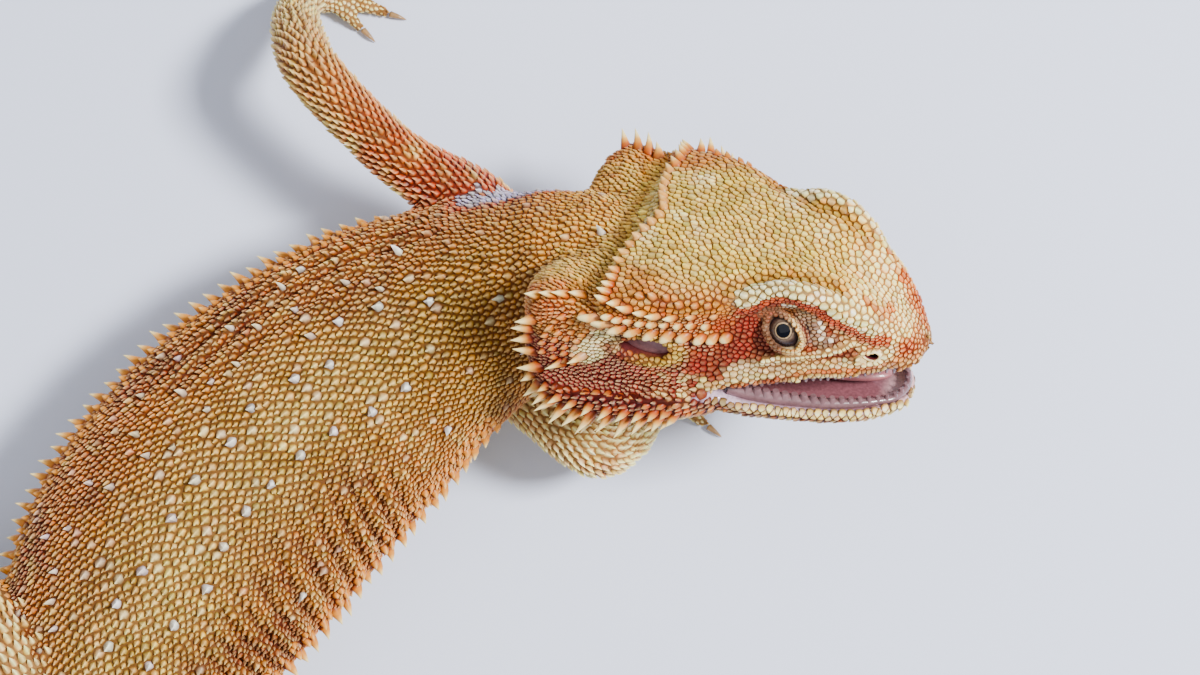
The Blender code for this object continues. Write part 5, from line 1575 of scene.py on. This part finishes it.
for level in levels:
    t = max(level, 0.0)
    blend = ramp(t, 0.05, 0.42)
    bend = up * -0.25 if level < 0 else b * (far * 0.12 * t**2)[:, None]
    centre = root + lean * (far * t)[:, None] + bend
    r = cell[i] * (1 - blend) + mean_cell[:, None] * 1.02 * blend
    wide = r * ((1 - t) ** blunt[:, None]) * 0.97
    rings.append(centre[:, None] + (on_cell * (1 - blend) + round_way * blend) * wide[..., None])
    shade = dark + (middle - dark) * ramp(t, 0.0, 0.24)
    shade = shade + (COLOURS["gold"] - shade) * ramp(t - 0.16 * fringe, 0.16, 0.44) * (0.3 + 0.7 * bright)
    ivory = COLOURS["cream"] * (1.0, 0.97, 0.82)
    shade = shade + (ivory - shade) * ramp(t - 0.16 * fringe, 0.36, 0.7) * (0.2 + 0.8 * bright)
    tints.append(np.repeat(shade[:, None], ROUND, 1))
point = root + lean * far[:, None] + b * (far * 0.12)[:, None]
corners = np.concatenate(rings + [point[:, None]], 1)
tints = np.concatenate(tints + [np.repeat((COLOURS["cream"] * 1.05)[None, None], len(i), 0)], 1)
faces = [tuple(range(ROUND))[::-1]]
for level in range(len(levels) - 1):
    for k in range(ROUND):
        m = (k + 1) % ROUND
        faces.append((level * ROUND + k, level * ROUND + m, (level + 1) * ROUND + m, (level + 1) * ROUND + k))
last = (len(levels) - 1) * ROUND
faces += [(last + k, last + (k + 1) % ROUND, last + ROUND) for k in range(ROUND)]
circle = np.stack([np.cos(turn), np.sin(turn)], -1)
flat = np.concatenate([circle * (1 - 0.14 * level) for level in range(len(levels))] + [[(0, 0)]])
made = build_mesh(corners, faces, tints, np.repeat(flat[None], len(i), 0), root_u[i], root_v[i])
made.shade_smooth()
piece("spines", made, SPINES)
print("spines:", len(i), "with", len(i) * sum(len(f) - 2 for f in faces), "triangles")

# %% [markdown]
# ## The eyes
# Each eyeball is a ball whose pole is the pupil. The distance from the pole is stored on its points, so the
# colour can run outwards as it does in a real eye: a black pupil, a thin pale rim, a brown iris with fine rays.

# %% The eye's material
def eye_material():
    made = bpy.data.materials.new("eye")
    made.use_nodes = True
    tree = made.node_tree
    new, link, shader = tree.nodes.new, wiring(tree), tree.nodes["Principled BSDF"]
    out, rays, place_at = new("ShaderNodeAttribute"), new("ShaderNodeTexNoise"), new("ShaderNodeTexCoord")
    out.attribute_name = "outward"
    set_inputs(rays, {"Scale": 2600.0, "Detail": 4.0})
    wobble = new("ShaderNodeMath")
    wobble.operation = "MULTIPLY_ADD"
    wobble.inputs[1].default_value = 0.03
    ramp_node = new("ShaderNodeValToRGB")
    stops = ((0.0, (5, 7, 15)), (0.245, (6, 8, 16)), (0.262, (186, 156, 112)), (0.285, (160, 132, 100)),
             (0.31, (70, 54, 44)), (0.35, (112, 92, 76)), (0.42, (70, 52, 44)), (0.52, (36, 24, 24)),
             (1.0, (40, 26, 26)))
    while len(ramp_node.color_ramp.elements) < len(stops):
        ramp_node.color_ramp.elements.new(0.5)
    for element, (where, rgb) in zip(ramp_node.color_ramp.elements, stops):
        element.position = where
        element.color = (*linear(*rgb), 1)
    mottled = add_group(tree, MOTTLE, Scale=3000.0, Amount=0.3)
    link(place_at, "Object", rays, "Vector")
    link(rays, "Fac", wobble, 0)
    link(out, "Fac", wobble, 2)
    link(wobble, 0, ramp_node, "Fac")
    link(ramp_node, "Color", mottled, "Color")
    link(mottled, "Color", shader, "Base Color")
    set_inputs(shader, {"Roughness": 0.12, "Specular IOR Level": 0.15, "Coat Weight": 0.18, "Coat Roughness": 0.03})
    return made


EYE = eye_material()


def eyeball(flip):
    """A ball with its pole at the pupil and a slight bulge for the cornea."""
    gaze = Vector(GAZE * (1, flip, 1))
    bm = bmesh.new()
    bmesh.ops.create_uvsphere(bm, u_segments=64, v_segments=48, radius=BALL_RADIUS)
    outward = {}
    for vert in bm.verts:
        away = vert.co.normalized()
        arc = math.acos(max(-1, min(1, away.z))) * BALL_RADIUS
        vert.co = away * (BALL_RADIUS + 0.18 * math.exp(-(arc / 1.7) ** 4))
        outward[vert.index] = min(arc / 4.4, 1.0)
    turn = gaze.to_track_quat("Z", "Y").to_matrix().to_4x4()
    middle = Matrix.Translation(Vector(BALL_CENTRE * (1, flip, 1)))
    bmesh.ops.transform(bm, matrix=head_matrix @ middle @ turn, verts=bm.verts)
    values = [outward[vert.index] for vert in bm.verts]
    mesh = mesh_from(bm)
    mesh.attributes.new("outward", "FLOAT", "POINT").data.foreach_set("value", values)
    return mesh


for name, flip in (("left", 1), ("right", -1)):
    piece(f"eyeball_{name}", eyeball(flip), EYE, [f"eye_{name}"])
print("eyes made")


# %% [markdown]
# ## The nostrils
# Each nostril is a hole in one smooth, raised scale of its own. It is a small oval dish: rings of points follow a
# profile from the sunk outer edge over a round rim and down into the hole, whose inside is painted dark as shade.

# %% Nostrils
bm, shades = bmesh.new(), []
profile = (  # share of the hole's half width, and height above the skin
    (1.7, -0.45), (1.64, 0.0), (1.5, 0.22), (1.3, 0.32), (1.12, 0.25), (1.0, 0.06), (0.86, -0.4), (0.6, -1.0),
    (0.3, -1.3))
AROUND = 28
round_it = np.arange(AROUND) * math.tau / AROUND
for flip in (1, -1):
    tilt = math.radians(14)
    oval = np.column_stack([np.cos(round_it), np.zeros(AROUND), np.sin(round_it)]) * (1.02, 0, 0.62)
    oval = oval @ np.array([[math.cos(tilt), 0, math.sin(tilt)], [0, 1, 0], [-math.sin(tilt), 0, math.cos(tilt)]])
    rim_at, _, _ = onto_skin(from_head((NOSTRIL + (0, 0.3, 0) + oval * 1.7) * (1, flip, 1)))
    middle = rim_at.mean(axis=0)
    ahead, above = unit(rim_at[0] - rim_at[14]), unit(rim_at[7] - rim_at[21])
    out = unit(np.cross(ahead, above)) * -flip
    rings = []
    for reach, height_at in profile:
        flat_ring = middle + (rim_at - middle) * (reach / 1.7)
        rings.append([bm.verts.new(point + out * height_at) for point in flat_ring])
        # the rim is cream; the lip of the hole is wine and its depth near black, painted shade in the hole
        rgb = COLOURS["cream"] * 1.05 if reach > 1.05 else COLOURS["wine"] if reach > 0.9 else COLOURS["dark"] * 0.6
        shades += [rgb] * AROUND
    for one, two in zip(rings, rings[1:]):
        for k in range(AROUND):
            bm.faces.new((one[k], one[(k + 1) % AROUND], two[(k + 1) % AROUND], two[k]))
    bm.faces.new(rings[-1])
bmesh.ops.recalc_face_normals(bm, faces=bm.faces)
nostrils = mesh_from(bm)
set_tint(nostrils, np.array(shades))
piece("nostrils", nostrils, SPINES)
print("nostrils made")

# %% [markdown]
# ## Mouth, ears and claws
# The mouth stands open, so it shows the tongue, and along each jaw the gum with the low, blunt teeth of an agama,
# which are fused to the bone. Six small pointed teeth stand at the front of the upper jaw. The ear is a bare thin
# membrane in its recess. Claws are bent, tapering tubes.

# %% Plain painted materials for wet and horny parts
def simple(name, rgb, mottle, scale, dull, glossy, bump, coat):
    """A material in one colour, whose grain is in proportion to its mottles."""
    return painted(name, rgb, False, mottle, scale, scale * 1.6, dull, glossy, bump, coat, 0.1)


TONGUE = simple("tongue", (150, 88, 92), 0.2, 900.0, 0.5, 0.3, 0.4, 0.5)
DRUM = simple("ear_drum", (140, 96, 100), 0.35, 700.0, 0.6, 0.4, 0.3, 0.25)
CLAW = simple("claw", (160, 122, 76), 0.3, 600.0, 0.45, 0.3, 0.2, 0.3)
TEETH = simple("teeth", (120, 86, 90), 0.25, 900.0, 0.4, 0.25, 0.1, 0.6)
IVORY = simple("ivory", (232, 214, 196), 0.1, 900.0, 0.35, 0.25, 0.05, 0.3)

# %% Tongue
bm = bmesh.new()
bmesh.ops.create_uvsphere(bm, u_segments=48, v_segments=32, radius=1.0)
for vert in bm.verts:
    x, y, z = vert.co
    groove = 0.18 * math.exp(-(y / 0.16) ** 2) * max(z, 0)
    vert.co.z = z - groove + 0.05 * math.sin(x * 9) * max(z, 0)
    vert.co.y = y * (1 - 0.22 * max(x, 0))
size_matrix = Matrix.Diagonal((*(TONGUE_SIZE * 0.97), 1))
tongue_at = Matrix.Translation(TONGUE_CENTRE + Vector((0, 0, -0.9)))
bmesh.ops.transform(bm, matrix=head_matrix @ tongue_at @ size_matrix, verts=bm.verts)
piece("tongue_flesh", mesh_from(bm), TONGUE, ["tongue"])

# %% Gums and teeth
bm = bmesh.new()
for table, y_column, z_column, inward, rise in ((JAW, 2, 1, 2.9, 0.15), (SKULL, 6, 7, 1.9, 0.45)):
    lower_one = inward > 2
    x = np.array((13.5, 18.0, 23.0, 28.0, 32.0, 35.2, 37.2))
    y = column_at(table, y_column, x) - inward
    z = column_at(table, z_column, x) + rise
    thick = np.array((1.0, 1.0, 0.95, 0.85, 0.7, 0.6, 0.6)) * (1.0 if lower_one else 0.6)
    side_rows = np.column_stack([x, np.maximum(y, 1.4), z, thick])
    arch = np.vstack([side_rows, [(38.2, 0.0, z[-1], thick[-1])], side_rows[::-1] * (1, -1, 1, 1)])
    add_tube(bm, [from_head(limb_ring(arch, at, 12)) for at in stations(0, 14, 0.14)], 0.0)
    for at in walk(lambda t, arch=arch: row(arch, t)[:3], 0.4, 13.6, 1.42 if lower_one else 1.1):
        *root, radius = row(arch, at)
        tooth = Matrix.Translation(Vector(root) + Vector((0, 0, radius if lower_one else -0.6)))
        turn = Matrix.Rotation(0.0 if lower_one else math.pi, 4, "X")
        bmesh.ops.create_cone(bm, cap_ends=True, segments=10, radius1=radius * 0.92, radius2=radius * 0.5,
                              depth=0.9 * rng.uniform(0.8, 1.2), matrix=head_matrix @ tooth @ turn)
teeth = mesh_from(bm)
teeth.set_sharp_from_angle(angle=math.radians(50))
piece("teeth", teeth, TEETH)
bm = bmesh.new()
for x, y, long in ((36.3, 3.4, 1.5), (37.6, 2.0, 1.7), (38.2, 0.6, 1.3)):
    for flip in (1, -1):
        place_at = Matrix.Translation((x, y * flip, column_at(SKULL, LIP_Z, x) - 0.1 - long / 2))
        bmesh.ops.create_cone(bm, cap_ends=True, segments=12, radius1=0.06, radius2=0.34, depth=long,
                              matrix=head_matrix @ place_at)
piece("front_teeth", mesh_from(bm), IVORY)

# %% Ear drums
for name, flip in (("left", 1), ("right", -1)):
    bm = bmesh.new()
    bmesh.ops.create_uvsphere(bm, u_segments=48, v_segments=24, radius=1.0)
    for vert in bm.verts:
        vert.co.z -= 0.5 * math.exp(-(vert.co.x**2 + vert.co.y**2) / 0.3) * (vert.co.z > 0)
    shape = Matrix.Translation(EAR_CENTRE * (1, flip, 1)) @ Matrix.Rotation(-flip * math.pi / 2, 4, "X")
    shape = shape @ Matrix.Diagonal((EAR_SIZE[0] * 0.98, EAR_SIZE[1] * 0.98, EAR_THICKNESS / 2, 1))
    bmesh.ops.transform(bm, matrix=head_matrix @ shape, verts=bm.verts)
    piece(f"ear_drum_{name}", mesh_from(bm), DRUM, [f"ear_{name}"])

# %% Claws
bm, claw_nodes = bmesh.new(), []
for name, (limb, palm, heading, digits) in PAWS.items():
    for number, (spread_angle, length) in enumerate(digits, 1):
        path, along = digit_path(palm, math.radians(heading + spread_angle), length)
        start = path[0, :3] + along * 0.2
        table = np.array([(*start, 0.60), (*(start + along * 1.3 + (0, 0, 0.32)), 0.40),
                          (*(start + along * 2.3 + (0, 0, 0.05)), 0.2), (*(start + along * 2.8 - (0, 0, 0.45)), 0.05)])
        add_tube(bm, [limb_ring(table, at, 12) for at in stations(0, 3, 0.25)], 0.0)
        claw_nodes.append(f"claw_{name}_{number}")
piece("claws", mesh_from(bm), CLAW, claw_nodes)
print("tongue, teeth, ear drums and claws made")

# %% [markdown]
# ## Floor, light and camera
# The set is a plain pale floor. A small bright window light stands beyond the head, and a broad soft one hangs
# above. The camera looks almost straight down.

# %% Floor
floor_material = bpy.data.materials.new("floor")
floor_material.use_nodes = True
floor_shader = floor_material.node_tree.nodes["Principled BSDF"]
set_inputs(floor_shader, {"Base Color": (0.73, 0.785, 0.965, 1), "Roughness": 0.9})
bm = bmesh.new()
bmesh.ops.create_grid(bm, x_segments=1, y_segments=1, size=1.5)
floor_mesh = bpy.data.meshes.new("floor")
bm.to_mesh(floor_mesh)
bm.free()
floor_mesh.materials.append(floor_material)
floor = bpy.data.objects.new("floor", floor_mesh)
bpy.context.scene.collection.objects.link(floor)

# %% Lights and world
def area_light(name, place_at, target, energy, size):
    data = bpy.data.lights.new(name, "AREA")
    data.energy, data.size = energy, size
    obj = bpy.data.objects.new(name, data)
    obj.location = place_at
    obj.rotation_euler = (Vector(target) - Vector(place_at)).to_track_quat("-Z", "Y").to_euler()
    bpy.context.scene.collection.objects.link(obj)


area_light("window", (0.56, 0.14, 0.72), (0.02, 0.05, 0), 17.0, 0.18)
area_light("sky", (-0.25, 0.0, 0.9), (0, 0.05, 0), 4.0, 1.0)
world = bpy.data.worlds.new("soft day")
world.use_nodes = True
set_inputs(world.node_tree.nodes["Background"], {"Color": (0.86, 0.9, 1.0, 1), "Strength": 0.40})
bpy.context.scene.world = world

# %% Camera
TILT, DISTANCE = math.radians(5), 380
camera = bpy.data.objects.new("camera", bpy.data.cameras.new("camera"))
camera.data.lens, camera.data.sensor_width = 75.8, 36
camera.location = MM @ Vector((0, -math.sin(TILT) * DISTANCE, 45 + math.cos(TILT) * DISTANCE))
camera.rotation_euler = (TILT, 0, 0)
bpy.context.scene.collection.objects.link(camera)
bpy.context.scene.camera = camera
